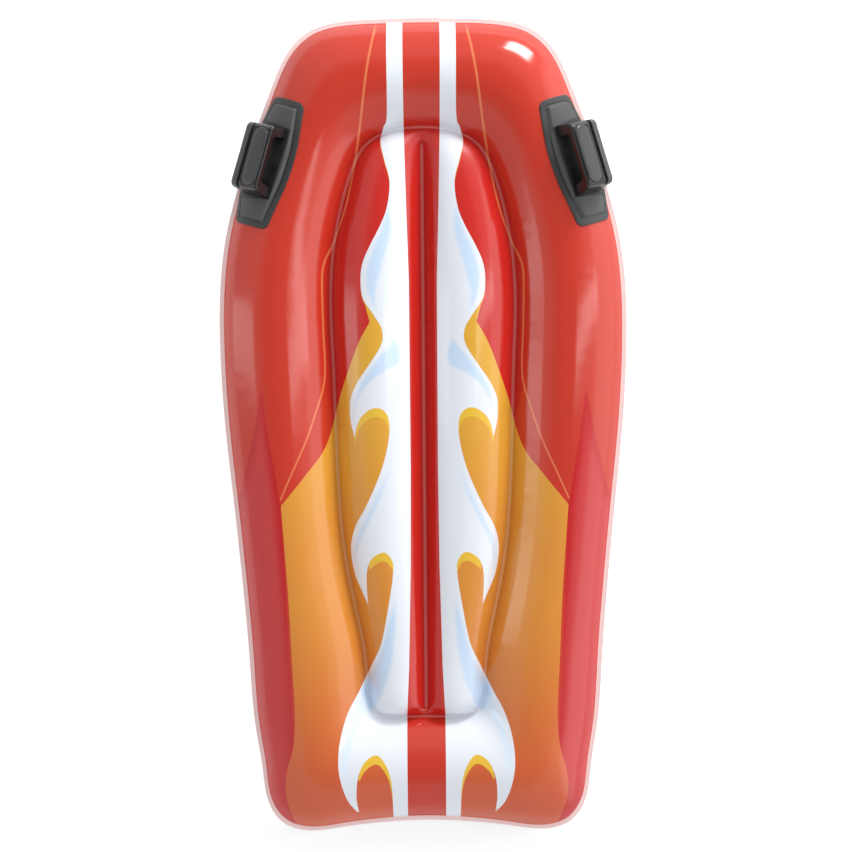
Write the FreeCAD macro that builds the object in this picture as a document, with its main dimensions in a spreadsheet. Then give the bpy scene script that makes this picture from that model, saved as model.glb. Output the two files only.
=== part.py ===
"""Inflatable bodyboard: two welded film sheets, two side handles and two flush inflation valves.

Millimetres. +X right, +Y towards the nose, +Z up through the deck. The origin is on the ground under
the middle of the board. The deck sheet and the hull sheet meet in the weld plane, at mid_height.
"""
import FreeCAD, Part
import math
import os

import Sketcher

VECTOR = FreeCAD.Vector
UP = VECTOR(0, 0, 1)
ACROSS = VECTOR(1, 0, 0)
GROUND = VECTOR(0, 0, 0)

SIZES = {
    # the board
    "board_length": 1014.0,
    "board_width": 508.8,
    "mid_height": 40.3,
    "tube_rise": 40.0,
    "rise_ratio": 0.306,
    "film": 0.65,
    "centre_weld": 5.0,
    "seam_weld": 4.0,
    "flange_width": 5.0,
    # the handle plate, in its own tilted plane
    "plate_length": 164.0,
    "plate_width": 69.0,
    "plate_end_width": 32.0,
    "plate_waist": 28.0,
    "plate_corner": 7.5,
    "plate_lift": 0.45,
    "plate_thickness": 2.0,
    "pad_thickness": 4.6,
    "pad_inset": 10.0,
    "handle_tilt": 33.0,
    # the grip loop
    "grip_length": 94.0,
    "grip_top_length": 81.0,
    "grip_width": 40.0,
    "grip_height": 33.0,
    "grip_bar": 10.5,
    "grip_root": 12.0,
    "gap_length": 62.0,
    "gap_top_length": 56.0,
    "gap_depth": 3.0,
    "groove_width": 5.0,
    "groove_depth": 6.0,
    "groove_offset": 8.0,
    "grip_round": 5.0,
    # the oval insert in the top of the grip
    "insert_length": 73.0,
    "insert_width": 22.0,
    "insert_offset": 6.5,
    "insert_sink": 1.6,
    "insert_proud": 1.0,
    "insert_edge": 0.8,
    "insert_clearance": 0.05,
    # the valves
    "valve_hole_radius": 9.0,
    "valve_flange_radius": 17.5,
    "valve_flange_thickness": 0.9,
    "valve_flange_sink": 0.9,
    "valve_gap": 0.05,
    "stem_radius": 5.5,
    "stem_bore_radius": 3.75,
    "stem_length": 15.0,
    "collar_radius": 7.2,
    "collar_top": 0.8,
    "collar_thickness": 1.6,
    "cap_thickness": 2.2,
    "cap_round": 0.8,
    "plug_length": 7.0,
    "plug_clearance": 0.05,
    "web_thickness": 0.6,
    "web_top": 2.0,
    "web_depth": 7.0,
    "web_clearance": 0.4,
    "flap_radius": 4.6,
    "flap_thickness": 0.8,
    "flap_gap": 0.15,
    "flap_hinge": 5.0,
    "flap_tongue_width": 3.6,
    "tether_reach": 16.0,
    "tether_width": 2.0,
    "tether_thickness": 1.0,
    "tether_gap": 0.15,
    "tether_bottom": 0.4,
}

DESIGN_LENGTH = 1014.0
DESIGN_WIDTH = 508.8
RISE_SHARPNESS = 8
RISE_HEADROOM = 1.02
STEPS_BETWEEN_RIBS = 2
PARALLEL = 1e-6
RIB_STEP = 0.02
LOBE_CHORD = 1
TUBE_CHORD = 2

# Ribs of the right half, from the tail centre to the nose centre: where each rib crosses the outer
# outline, the seam round the middle chamber, and (Y only) the weld along the centre line.
RIBS = [
    ((0, -495), (0, -366), -353),
    ((55, -497.5), (26, -366), -352),
    ((105, -503), (46, -365), -350),
    ((150, -507), (60, -361.5), -346),
    ((180, -497), (67.5, -355), -340),
    ((198, -471), (71.5, -345), -331),
    ((205, -430), (73, -332), -320),
    ((213, -380), (74.5, -312), -303),
    ((220.5, -290), (80, -266), -264),
    ((228, -200), (97, -183), -188),
    ((238, -100), (107, -92), -96),
    ((248.5, 0), (111, 2), 2),
    ((253.8, 90), (113.8, 88), 88),
    ((253.5, 165), (116, 152), 155),
    ((246.5, 230), (112.5, 215), 215),
    ((232, 290), (103, 268), 262),
    ((210, 360), (90, 313), 300),
    ((187, 422), (74.5, 344), 326),
    ((166, 466), (56, 359), 338),
    ((140, 491), (38, 366), 344),
    ((105, 502), (22, 369.5), 347),
    ((52, 506), (9, 370.8), 348.5),
    ((0, 507), (0, 371), 349),
]

# Rib positions (1.0 is one rib) and the tilt of what sits on the tubes there.
HANDLE_RIB = 15.62
SLAB_FIRST_RIB = 13.6
SLAB_LAST_RIB = 17.6
SLAB_STEPS = 12
SLAB_INNER_TILT = -14.0
SLAB_OUTER_TILT = 61.0
SLAB_DEPTH = 30.0
RING_VALVE_RIB = 1.0
RING_VALVE_TILT = -31.0
CENTRE_VALVE_RIB = 8.0
CENTRE_VALVE_TILT = 0.0


def make_sheet(doc):
    """The driving dimensions, one cell each, named by alias."""
    sheet = doc.addObject("Spreadsheet::Sheet", "sizes")
    for row, (alias, value) in enumerate(SIZES.items(), start=1):
        sheet.set("A%d" % row, alias)
        sheet.set("B%d" % row, str(value))
        sheet.setAlias("B%d" % row, alias)
    doc.recompute()
    return sheet


def smooth_curve(points, stations):
    """A cubic curve through the points, square to the centre line where it starts and ends there."""
    spline = Part.BSplineCurve()
    if points[1].x > 0:
        spline.interpolate(
            Points=points, Parameters=stations, InitialTangent=ACROSS, FinalTangent=-ACROSS)
    else:
        spline.interpolate(Points=points, Parameters=stations)
    return spline


def arc_poles(start, middle, end):
    """The poles of two cubic pieces that follow the arc through three points."""
    half_chord = (end - start).Length / 2
    rise = middle - (start + end) * 0.5
    radius = (half_chord * half_chord + rise.Length * rise.Length) / (2 * rise.Length)
    turn = math.asin(half_chord / radius)
    reach = radius * 4 / 3 * math.tan(turn / 4)
    along = (end - start).normalize()
    up = rise.normalize()
    leaving = along * math.cos(turn) + up * math.sin(turn)
    arriving = along * math.cos(turn) - up * math.sin(turn)
    return [
        start,
        start + leaving * reach,
        middle - along * reach,
        middle,
        middle + along * reach,
        end - arriving * reach,
        end,
    ]


def strip_face(rows, stations):
    """The face over rows of poles, flat across two rows and two cubic pieces across seven."""
    curves = [smooth_curve(list(row), stations) for row in rows]
    poles = [curve.getPoles() for curve in curves]
    along = curves[0]
    if len(rows) == 2:
        degree, places, counts = 1, [0.0, 1.0], [2, 2]
    else:
        degree, places, counts = 3, [0.0, 0.5, 1.0], [4, 3, 4]
    surface = Part.BSplineSurface()
    surface.buildFromPolesMultsKnots(
        poles, counts, along.getMultiplicities(), places, along.getKnots(),
        False, False, degree, along.Degree)
    return surface.toShape()


class Hull:
    """The board's section lines: where each rib crosses the welds, and the arcs between them."""

    def __init__(self, sheet):
        self.sheet = sheet
        across = sheet.board_width / DESIGN_WIDTH
        along = sheet.board_length / DESIGN_LENGTH
        outline = [VECTOR(rib[0][0] * across, rib[0][1] * along, 0) for rib in RIBS]
        seam = [VECTOR(rib[1][0] * across, rib[1][1] * along, 0) for rib in RIBS]
        centre = [VECTOR(0, rib[2] * along, 0) for rib in RIBS]
        self.stations = [0.0]
        for near, far in zip(outline, outline[1:]):
            self.stations.append(self.stations[-1] + near.distanceToPoint(far))
        self.outline = self.curve(outline)
        self.seam = self.curve(seam)
        self.centre = self.curve(centre)

    def curve(self, points):
        """A smooth curve through the points, all of them sharing the outline's stations."""
        return smooth_curve(points, self.stations)

    def station(self, rib):
        """The curve parameter of a rib position, which may lie between two ribs."""
        first = min(int(rib), len(self.stations) - 2)
        near = self.stations[first]
        return near + (rib - first) * (self.stations[first + 1] - near)

    def rise(self, chord):
        """How high the film stands over a chord: a fixed share of it, levelling off at tube_rise."""
        free = self.sheet.rise_ratio * chord
        limit = self.sheet.tube_rise * RISE_HEADROOM
        return free / (1 + (free / limit) ** RISE_SHARPNESS) ** (1 / RISE_SHARPNESS)

    def chords(self, rib):
        """The ends of the lobe's chord and of the ring tube's chord at a rib."""
        station = self.station(rib)
        centre = self.centre.value(station)
        seam = self.seam.value(station)
        outline = self.outline.value(station)
        inward = (seam - centre).normalize()
        outward = (outline - seam).normalize()
        half_seam = self.sheet.seam_weld / 2
        lobe = (centre + inward * (self.sheet.centre_weld / 2), seam - inward * half_seam)
        tube = (seam + outward * half_seam, outline - outward * self.sheet.flange_width)
        return centre, lobe, tube, outline

    def arc(self, chord, offset=0.0):
        """Centre, direction, radius and half-angle of the film's outer arc over a chord."""
        start, end = chord
        along = end - start
        length = along.Length
        sag = self.rise(length) - self.sheet.film
        radius = (length * length / 4 + sag * sag) / (2 * sag)
        centre = (start + end) * 0.5 + UP * (self.sheet.film + sag - radius)
        half_angle = math.asin(min(1.0, length / (2 * radius)))
        return centre, along.normalize(), radius + offset, half_angle

    def arc_point(self, chord, angle, offset=0.0):
        """A point of the arc over a chord, turned from its top by an angle towards its far end."""
        centre, along, radius, _ = self.arc(chord, offset)
        return centre + along * (radius * math.sin(angle)) + UP * (radius * math.cos(angle))

    def film_arcs(self, chord):
        """The three points of the outer and of the inner arc of the film over a chord."""
        start, end = chord
        _, along, _, half_angle = self.arc(chord)
        mitre = self.sheet.film * math.tan(half_angle / 2)
        rise = UP * self.rise((end - start).Length)
        film = UP * self.sheet.film
        middle = (start + end) * 0.5
        outer = (start + film, middle + rise, end + film)
        inner = (start + along * mitre, middle + rise - film, end - along * mitre)
        return outer, inner

    def strips(self, rib):
        """The film's strips at a rib, each as its poles, from the centre line round the edge and back."""
        centre, lobe, tube, outline = self.chords(rib)
        lobe_outer, lobe_inner = self.film_arcs(lobe)
        tube_outer, tube_inner = self.film_arcs(tube)
        film = UP * self.sheet.film
        return [
            [centre, lobe_inner[0]],
            arc_poles(*lobe_inner),
            [lobe_inner[2], tube_inner[0]],
            arc_poles(*tube_inner),
            [tube_inner[2], outline],
            [outline, outline + film],
            [outline + film, tube_outer[2]],
            arc_poles(*reversed(tube_outer)),
            [tube_outer[0], lobe_outer[2]],
            arc_poles(*reversed(lobe_outer)),
            [lobe_outer[0], centre + film],
        ]

    def sheet_solid(self):
        """The whole film sheet: the right half, strip by strip, and its mirror image, sewn together."""
        last = (len(RIBS) - 1) * STEPS_BETWEEN_RIBS
        ribs = [step / STEPS_BETWEEN_RIBS for step in range(last + 1)]
        stations = [self.station(rib) for rib in ribs]
        strips = zip(*[self.strips(rib) for rib in ribs])
        half = [strip_face(list(zip(*strip)), stations) for strip in strips]
        other = [face.mirror(GROUND, ACROSS) for face in half]
        shell = Part.Shell(half + other)
        shell.sewShape()
        solid = Part.Solid(shell)
        if solid.Volume < 0:
            solid.reverse()
        solid.translate(UP * self.sheet.mid_height)
        return solid

    def slab_solid(self, low, high):
        """A curved slab over the right tube beside the nose, between two offsets from the film."""
        sections = []
        for step in range(SLAB_STEPS + 1):
            rib = SLAB_FIRST_RIB + (SLAB_LAST_RIB - SLAB_FIRST_RIB) * step / SLAB_STEPS
            tube = self.chords(rib)[TUBE_CHORD]
            inner = math.radians(SLAB_INNER_TILT)
            outer = math.radians(SLAB_OUTER_TILT)
            middle = (inner + outer) / 2
            below = [self.arc_point(tube, angle, low) for angle in (inner, middle, outer)]
            above = [self.arc_point(tube, angle, high) for angle in (outer, middle, inner)]
            sections.append(Part.Wire([
                Part.Arc(*below).toShape(),
                Part.makeLine(below[2], above[0]),
                Part.Arc(*above).toShape(),
                Part.makeLine(above[2], below[0]),
            ]))
        slab = Part.makeLoft(sections, True, False)
        slab.translate(UP * self.sheet.mid_height)
        return slab

    def seat(self, chord, tilt):
        """A placement on the deck: x across the tube, z square to the rib's arc."""
        angle = math.radians(tilt)
        _, along, _, _ = self.arc(chord)
        outward = along * math.sin(angle) + UP * math.cos(angle)
        forward = outward.cross(along).normalize()
        point = self.arc_point(chord, angle) + UP * self.sheet.mid_height
        return frame_of(forward.cross(outward), forward, outward, point)

    def seat_below(self, rib, chord_index, tilt, side):
        """A placement on the underside: x round the arc, z square to the film both ways.

        The side is 1 on the right half and -1 on the left one.
        """
        angle = math.radians(tilt)
        chord, ahead, behind = [self.chords(rib + step)[chord_index] for step in (0, RIB_STEP, -RIB_STEP)]
        _, along, _, _ = self.arc(chord)
        point = self.arc_point(chord, angle)
        line = self.arc_point(ahead, angle) - self.arc_point(behind, angle)
        around = along * math.cos(angle) - UP * math.sin(angle)
        outward = along * math.sin(angle) + UP * math.cos(angle)
        point, line, around, outward = [
            VECTOR(side * item.x, item.y, -item.z) for item in (point, line, around, outward)]
        square = line.cross(around).normalize()
        if square.dot(outward) < 0:
            square = square * -1
        return frame_of(around, square.cross(around), square, point + UP * self.sheet.mid_height)


def frame_of(sideways, forward, outward, point):
    """The placement whose axes are the three directions and whose base is the point."""
    return FreeCAD.Placement(FreeCAD.Matrix(
        sideways.x, forward.x, outward.x, point.x,
        sideways.y, forward.y, outward.y, point.y,
        sideways.z, forward.z, outward.z, point.z,
        0, 0, 0, 1,
    ))


def plane(body, role):
    """A body's own origin plane or axis."""
    return next(item for item in body.Origin.OriginFeatures if item.Role == role)


def new_body(doc, name, placement):
    body = doc.addObject("PartDesign::Body", name)
    body.Label = name
    body.Placement = placement
    return body


def new_sketch(body, name, role):
    sketch = body.newObject("Sketcher::SketchObject", name)
    sketch.AttachmentSupport = [(plane(body, role), "")]
    sketch.MapMode = "FlatFace"
    return sketch


def number(sheet, expression):
    """The value of an expression of the sheet's cells."""
    result = sheet.evalExpression(expression)
    return float(getattr(result, "Value", result))


def add_polygon(sketch, sheet, corners):
    """A closed polygon whose corners are pairs of expressions, each held by two bound constraints."""
    places = [VECTOR(number(sheet, x), number(sheet, y), 0) for x, y in corners]
    first = sketch.GeometryCount
    count = len(corners)
    for index in range(count):
        sketch.addGeometry(Part.LineSegment(places[index], places[(index + 1) % count]), False)
    for index in range(count):
        ahead = first + (index + 1) % count
        sketch.addConstraint(Sketcher.Constraint("Coincident", first + index, 2, ahead, 1))
    for index, (x, y) in enumerate(corners):
        edge = first + index
        place = places[index]
        for kind, expression, value in (("DistanceX", x, place.x), ("DistanceY", y, place.y)):
            constraint = sketch.addConstraint(Sketcher.Constraint(kind, -1, 1, edge, 1, value))
            sketch.setExpression("Constraints[%d]" % constraint, bound(expression))


def bound(expression):
    """The expression with its cells looked up in the sheet."""
    words = expression.replace("(", " ( ").replace(")", " ) ").split()
    return " ".join("sizes." + word if word in SIZES else word for word in words)


def add_pad(doc, body, sketch, name, length, both_ways=False):
    pad = body.newObject("PartDesign::Pad", name)
    pad.Profile = sketch
    pad.setExpression("Length", bound(length))
    pad.SideType = "Symmetric" if both_ways else "One side"
    sketch.Visibility = False
    doc.recompute()
    return pad


def add_pocket(doc, body, sketch, name, length, reverse=False):
    """A pocket that has to take material away."""
    before = body.Shape.Volume
    pocket = body.newObject("PartDesign::Pocket", name)
    pocket.Profile = sketch
    pocket.setExpression("Length", bound(length))
    pocket.Reversed = reverse
    doc.recompute()
    if pocket.Shape.Volume > before - 1:
        raise ValueError("%s takes nothing away" % name)
    return pocket


def add_turned(doc, body, sketch, name):
    turned = body.newObject("PartDesign::Revolution", name)
    turned.Profile = sketch
    turned.ReferenceAxis = (sketch, ["V_Axis"])
    doc.recompute()
    return turned


def round_edges(doc, body, feature, name, radius, wanted):
    """A fillet on the feature's edges that the test picks."""
    edges = ["Edge%d" % (index + 1) for index, edge in enumerate(feature.Shape.Edges) if wanted(edge)]
    fillet = body.newObject("PartDesign::Fillet", name)
    fillet.Base = (feature, edges)
    fillet.setExpression("Radius", bound(radius))
    doc.recompute()
    return fillet


def straight_along(direction):
    """A test for edges that run along a direction."""
    def test(edge):
        if edge.Curve.TypeId != "Part::GeomLine":
            return False
        return edge.tangentAt(edge.FirstParameter).cross(direction).Length < PARALLEL
    return test


def primitive(doc, kind, name, placement, **sizes):
    item = doc.addObject(kind, name)
    for key, expression in sizes.items():
        item.setExpression(key, bound(expression))
    item.Placement = placement
    return item


def boolean(doc, kind, name, base, tool):
    item = doc.addObject(kind, name)
    item.Base = base
    item.Tool = tool
    item.Label = name
    return item


def part_feature(doc, name, shape):
    item = doc.addObject("Part::Feature", name)
    item.Shape = shape
    item.Label = name
    return item


def lift(height):
    return FreeCAD.Placement(VECTOR(0, 0, height), FreeCAD.Rotation())


def plate_blank(doc, sheet, name, seat, inset):
    """The plan of a handle plate, as a block through the film. Its long sides bow outwards."""
    body = new_body(doc, name, seat)
    sketch = new_sketch(body, name + "_plan", "XY_Plane")
    side = "( plate_width / 2 - %s )" % inset
    waist = "( plate_waist / 2 )"
    shoulder = "( plate_end_width / 2 + plate_corner - %s )" % inset
    end = "( plate_end_width / 2 - %s / 2 )" % inset
    tip = "( plate_length / 2 - %s )" % inset
    neck = "( plate_length / 2 - plate_corner - %s )" % inset
    right = [(end, tip), (shoulder, neck), (side, waist)]
    right += [(side, "-1 * " + waist), (shoulder, "-1 * " + neck), (end, "-1 * " + tip)]
    left = [("-1 * " + x, y) for x, y in reversed(right)]
    add_polygon(sketch, sheet, list(reversed(right + left)))
    pad = add_pad(doc, body, sketch, name + "_pad", "plate_width", both_ways=True)
    round_edges(doc, body, pad, name + "_round", "plate_corner", straight_along(UP))
    return body


def handle_base(doc, sheet, hull, seat):
    """The plate that is welded to the deck, and the thicker pad in the middle of it.

    It stops short of the board's welded edge.
    """
    plate = plate_blank(doc, sheet, "plate_blank", seat, "0")
    pad = plate_blank(doc, sheet, "pad_blank", seat, "pad_inset")
    plate_slab = part_feature(doc, "plate_slab", hull.slab_solid(sheet.plate_lift, sheet.plate_thickness))
    pad_slab = part_feature(doc, "pad_slab", hull.slab_solid(sheet.plate_lift, sheet.pad_thickness))
    flange = boolean(doc, "Part::Common", "plate_skin", plate, plate_slab)
    middle = boolean(doc, "Part::Common", "pad_skin", pad, pad_slab)
    whole = boolean(doc, "Part::Fuse", "plate_whole", flange, middle)
    floor = lift(sheet.mid_height + sheet.film + sheet.plate_lift)
    above = primitive(doc, "Part::Box", "above_weld", floor,
                      Length="board_width", Width="board_length", Height="mid_height * 2")
    return boolean(doc, "Part::Common", "handle_base_right", whole, above)


def grip_blank(doc, sheet, seat):
    """The moulded loop: a trapezium seen from the side, a finger gap, a groove and an oval recess."""
    body = new_body(doc, "grip_blank", seat)
    side = new_sketch(body, "grip_side", "YZ_Plane")
    foot = "( grip_length / 2 )"
    top = "( grip_top_length / 2 )"
    root = "-1 * grip_root"
    outer = [("-1 * " + foot, root), (foot, root), (top, "grip_height"), ("-1 * " + top, "grip_height")]
    add_polygon(side, sheet, outer)
    block = add_pad(doc, body, side, "grip_block", "grip_width", both_ways=True)
    round_edges(
        doc, body, block, "grip_corners", "grip_round",
        lambda edge: straight_along(ACROSS)(edge) and edge.CenterOfMass.z > sheet.grip_height / 2)
    opening = new_sketch(body, "grip_gap", "YZ_Plane")
    low = "-1 * gap_depth"
    high = "( grip_height - grip_bar )"
    wide = "( gap_length / 2 )"
    narrow = "( gap_top_length / 2 )"
    gap_corners = [("-1 * " + wide, low), (wide, low), (narrow, high), ("-1 * " + narrow, high)]
    add_polygon(opening, sheet, gap_corners)
    gap = body.newObject("PartDesign::Pocket", "finger_gap")
    gap.Profile = opening
    gap.setExpression("Length", bound("grip_width * 2"))
    gap.SideType = "Symmetric"
    doc.recompute()
    round_edges(
        doc, body, gap, "gap_corners", "grip_round",
        lambda edge: straight_along(ACROSS)(edge)
        and abs(edge.CenterOfMass.z - sheet.grip_height + sheet.grip_bar) < sheet.film)
    groove = new_sketch(body, "groove_plan", "XY_Plane")
    near = "groove_offset"
    far = "( groove_offset + groove_width )"
    reach = "grip_length"
    groove_corners = [(near, "-1 * " + reach), (far, "-1 * " + reach), (far, reach), (near, reach)]
    add_polygon(groove, sheet, groove_corners)
    groove.setExpression(".AttachmentOffset.Base.z", bound("grip_height - groove_depth"))
    add_pocket(doc, body, groove, "groove", "grip_height", reverse=True)
    recess = new_sketch(body, "recess_plan", "XY_Plane")
    recess.setExpression(".AttachmentOffset.Base.z", bound("grip_height - insert_sink"))
    add_oval(recess, sheet, "insert_clearance")
    add_pocket(doc, body, recess, "recess", "grip_height", reverse=True)
    return body


def add_oval(sketch, sheet, margin):
    """The long oval of the grip's insert: two straight sides and two round ends."""
    radius = number(sheet, "insert_width / 2 + %s" % margin)
    reach = number(sheet, "insert_length / 2 - insert_width / 2")
    offset = -sheet.insert_offset
    turn = math.pi
    for sign in (1, -1):
        middle = VECTOR(offset, sign * reach, 0)
        start = 0 if sign > 0 else turn
        sketch.addGeometry(Part.ArcOfCircle(Part.Circle(middle, UP, radius), start, start + turn), False)
    sketch.addGeometry(Part.LineSegment(
        VECTOR(offset - radius, reach, 0), VECTOR(offset - radius, -reach, 0)), False)
    sketch.addGeometry(Part.LineSegment(
        VECTOR(offset + radius, -reach, 0), VECTOR(offset + radius, reach, 0)), False)
    for first, end, second, start in ((0, 2, 2, 1), (2, 2, 1, 1), (1, 2, 3, 1), (3, 2, 0, 1)):
        sketch.addConstraint(Sketcher.Constraint("Tangent", first, end, second, start))
    sketch.addConstraint(Sketcher.Constraint("Equal", 0, 1))
    bindings = [
        (Sketcher.Constraint("Radius", 0, radius), "insert_width / 2 + %s" % margin),
        (Sketcher.Constraint("DistanceX", -1, 1, 0, 3, offset), "-1 * insert_offset"),
        (Sketcher.Constraint("DistanceY", -1, 1, 0, 3, reach), "insert_length / 2 - insert_width / 2"),
        (Sketcher.Constraint("DistanceX", -1, 1, 1, 3, offset), "-1 * insert_offset"),
        (Sketcher.Constraint("DistanceY", -1, 1, 1, 3, -reach), "insert_width / 2 - insert_length / 2"),
    ]
    for constraint, expression in bindings:
        index = sketch.addConstraint(constraint)
        sketch.setExpression("Constraints[%d]" % index, bound(expression))


def grip_insert(doc, sheet, seat):
    """The softer oval pad let into the top of the grip."""
    body = new_body(doc, "grip_insert_right", seat)
    sketch = new_sketch(body, "insert_plan", "XY_Plane")
    sketch.setExpression(".AttachmentOffset.Base.z", bound("grip_height - insert_sink + insert_clearance"))
    add_oval(sketch, sheet, "0")
    pad = add_pad(doc, body, sketch, "insert_pad", "insert_sink + insert_proud")
    top = max(vertex.Z for vertex in pad.Shape.Vertexes)
    round_edges(
        doc, body, pad, "insert_round", "insert_edge",
        lambda edge: all(abs(vertex.Z - top) < sheet.insert_clearance for vertex in edge.Vertexes))
    return body


def mirrored(doc, source, name):
    item = doc.addObject("Part::Mirroring", name)
    item.Source = source
    item.Base = GROUND
    item.Normal = ACROSS
    item.Label = name
    return item


def handles(doc, sheet, hull):
    """Both handles: a base, a grip and an insert each. The left one is the mirror image."""
    tube = hull.chords(HANDLE_RIB)[TUBE_CHORD]
    seat = hull.seat(tube, sheet.handle_tilt)
    base = handle_base(doc, sheet, hull, seat)
    blank = grip_blank(doc, sheet, seat)
    seat_top = sheet.pad_thickness + sheet.valve_gap
    under = part_feature(doc, "grip_seat", hull.slab_solid(-SLAB_DEPTH, seat_top))
    grip = boolean(doc, "Part::Cut", "handle_grip_right", blank, under)
    insert = grip_insert(doc, sheet, seat)
    doc.recompute()
    right = [base, grip, insert]
    return right + [mirrored(doc, item, item.Label.replace("right", "left")) for item in right]


def valve_flange(doc, sheet, name, seat, radius):
    """The valve's weld ring, curved to lie against the inside of the film."""
    turn = FreeCAD.Placement(VECTOR(0, 0, -radius), FreeCAD.Rotation(ACROSS, 90))
    tube = seat.multiply(turn)
    back = tube.multiply(lift(-sheet.valve_flange_radius * 2))
    ring = primitive(doc, "Part::Cylinder", name + "_disc", seat.multiply(lift(-radius / 2)),
                     Radius="valve_flange_radius", Height="%f" % radius)
    hole = primitive(doc, "Part::Cylinder", name + "_hole", seat.multiply(lift(-radius / 2)),
                     Radius="valve_hole_radius", Height="%f" % radius)
    outer = primitive(doc, "Part::Cylinder", name + "_outer", back,
                      Radius="%f - film - valve_flange_sink" % radius, Height="valve_flange_radius * 4")
    inner = primitive(doc, "Part::Cylinder", name + "_inner", back,
                      Radius="%f - film - valve_flange_sink - valve_flange_thickness" % radius,
                      Height="valve_flange_radius * 4")
    flat = boolean(doc, "Part::Cut", name + "_flat", ring, hole)
    curved = boolean(doc, "Part::Cut", name + "_curved", outer, inner)
    return boolean(doc, "Part::Common", name, flat, curved)


def turned_piece(doc, sheet, name, seat, corners):
    """A piece turned about the valve's axis from a half-section of (radius, height) corners."""
    body = new_body(doc, name, seat)
    sketch = new_sketch(body, name + "_section", "XZ_Plane")
    add_polygon(sketch, sheet, corners)
    add_turned(doc, body, sketch, name + "_turned")
    return body


def valve_web(doc, sheet, name, seat):
    """The soft cone that joins the weld ring to the stem and lets the stem fold in."""
    top = "-1 * web_top"
    low = "-1 * web_depth"
    wide = "( valve_hole_radius - valve_gap )"
    narrow = "( stem_radius + web_clearance )"
    return turned_piece(doc, sheet, name, seat, [
        (wide, top),
        (wide + " - web_thickness", top),
        (narrow, low),
        (narrow + " + web_thickness", low),
    ])


def valve_stem(doc, sheet, name, seat):
    """The air tube, with a collar at its mouth."""
    return turned_piece(doc, sheet, name, seat, [
        ("stem_bore_radius", "-1 * stem_length"),
        ("stem_radius", "-1 * stem_length"),
        ("stem_radius", "collar_top - collar_thickness"),
        ("collar_radius", "collar_top - collar_thickness"),
        ("collar_radius", "collar_top"),
        ("stem_bore_radius", "collar_top"),
    ])


def valve_stopper(doc, sheet, name, seat):
    """The cap with the plug that closes the air tube."""
    plug = "( stem_bore_radius - plug_clearance )"
    low = "( collar_top + valve_gap )"
    high = "( collar_top + valve_gap + cap_thickness )"
    return turned_piece(doc, sheet, name, seat, [
        ("0", "-1 * plug_length"),
        (plug + " - cap_round", "-1 * plug_length"),
        (plug, "-1 * plug_length + cap_round"),
        (plug, low),
        ("collar_radius", low),
        ("collar_radius", high + " - cap_round"),
        ("collar_radius - cap_round", high),
        ("0", high),
    ])


def valve_flap(doc, sheet, name, seat):
    """The check flap on the inner end of the tube, with the tongue that it hinges on."""
    depth = sheet.stem_length + sheet.flap_gap + sheet.flap_thickness
    low = seat.multiply(lift(-depth))
    disc = primitive(doc, "Part::Cylinder", name + "_disc", low,
                     Radius="flap_radius", Height="flap_thickness")
    corner = VECTOR(-sheet.flap_hinge, -sheet.flap_tongue_width / 2, -depth)
    tongue = primitive(
        doc, "Part::Box", name + "_tongue", seat.multiply(FreeCAD.Placement(corner, FreeCAD.Rotation())),
        Length="flap_hinge", Width="flap_tongue_width", Height="flap_thickness")
    return boolean(doc, "Part::Fuse", name, disc, tongue)


def valve_tether(doc, sheet, name, seat):
    """The strap from the stem to the stopper, lying beside the valve as a flat loop."""
    body = new_body(doc, name, seat)
    sketch = new_sketch(body, name + "_plan", "XY_Plane")
    sketch.setExpression(".AttachmentOffset.Base.z", bound("tether_bottom"))
    near = "-1 * ( collar_radius + tether_gap )"
    far = "-1 * ( collar_radius + tether_reach )"
    turn = "-1 * ( collar_radius + tether_reach - tether_width )"
    half = "( tether_width * 1.5 )"
    slot = "( tether_width / 2 )"
    add_polygon(sketch, sheet, [
        (near, "-1 * " + half),
        (near, "-1 * " + slot),
        (turn, "-1 * " + slot),
        (turn, slot),
        (near, slot),
        (near, half),
        (far, half),
        (far, "-1 * " + half),
    ])
    pad = add_pad(doc, body, sketch, name + "_strap", "tether_thickness")
    round_edges(
        doc, body, pad, name + "_bend", "tether_width",
        lambda edge: straight_along(UP)(edge)
        and edge.CenterOfMass.x < -sheet.tether_reach - sheet.collar_radius + sheet.tether_width / 2)
    return body


def valve(doc, sheet, hull, name, rib, chord_index, tilt, side):
    """One flush valve under the board: six pieces on one axis."""
    seat = hull.seat_below(rib, chord_index, tilt, side)
    radius = hull.arc(hull.chords(rib)[chord_index])[2]
    return seat, [
        valve_flange(doc, sheet, name + "_valve_flange", seat, radius),
        valve_web(doc, sheet, name + "_valve_web", seat),
        valve_stem(doc, sheet, name + "_valve_stem", seat),
        valve_stopper(doc, sheet, name + "_valve_stopper", seat),
        valve_flap(doc, sheet, name + "_valve_flap", seat),
        valve_tether(doc, sheet, name + "_valve_tether", seat),
    ]


def hull_sheet(doc, sheet, deck, seats):
    """The lower sheet: the deck sheet's mirror image in the weld plane, with a hole for each valve."""
    lower = doc.addObject("Part::Mirroring", "hull_blank")
    lower.Source = deck
    lower.Base = UP * sheet.mid_height
    lower.Normal = UP
    for index, seat in enumerate(seats):
        drill = primitive(
            doc, "Part::Cylinder", "valve_drill_%d" % index, seat.multiply(lift(-sheet.valve_hole_radius)),
            Radius="valve_hole_radius", Height="valve_hole_radius * 2")
        name = "hull_sheet" if index == len(seats) - 1 else "hull_drilled_%d" % index
        lower = boolean(doc, "Part::Cut", name, lower, drill)
    return lower


def check(doc, nodes):
    """Stops on a failed object or a bad shape."""
    for item in doc.Objects:
        if "Invalid" in item.State or "Error" in item.State:
            raise ValueError("%s failed: %s" % (item.Name, item.State))
    for node in nodes:
        if node.Shape.isNull() or not node.Shape.isValid() or node.Shape.Volume <= 0:
            raise ValueError("%s has a bad shape" % node.Label)


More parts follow.
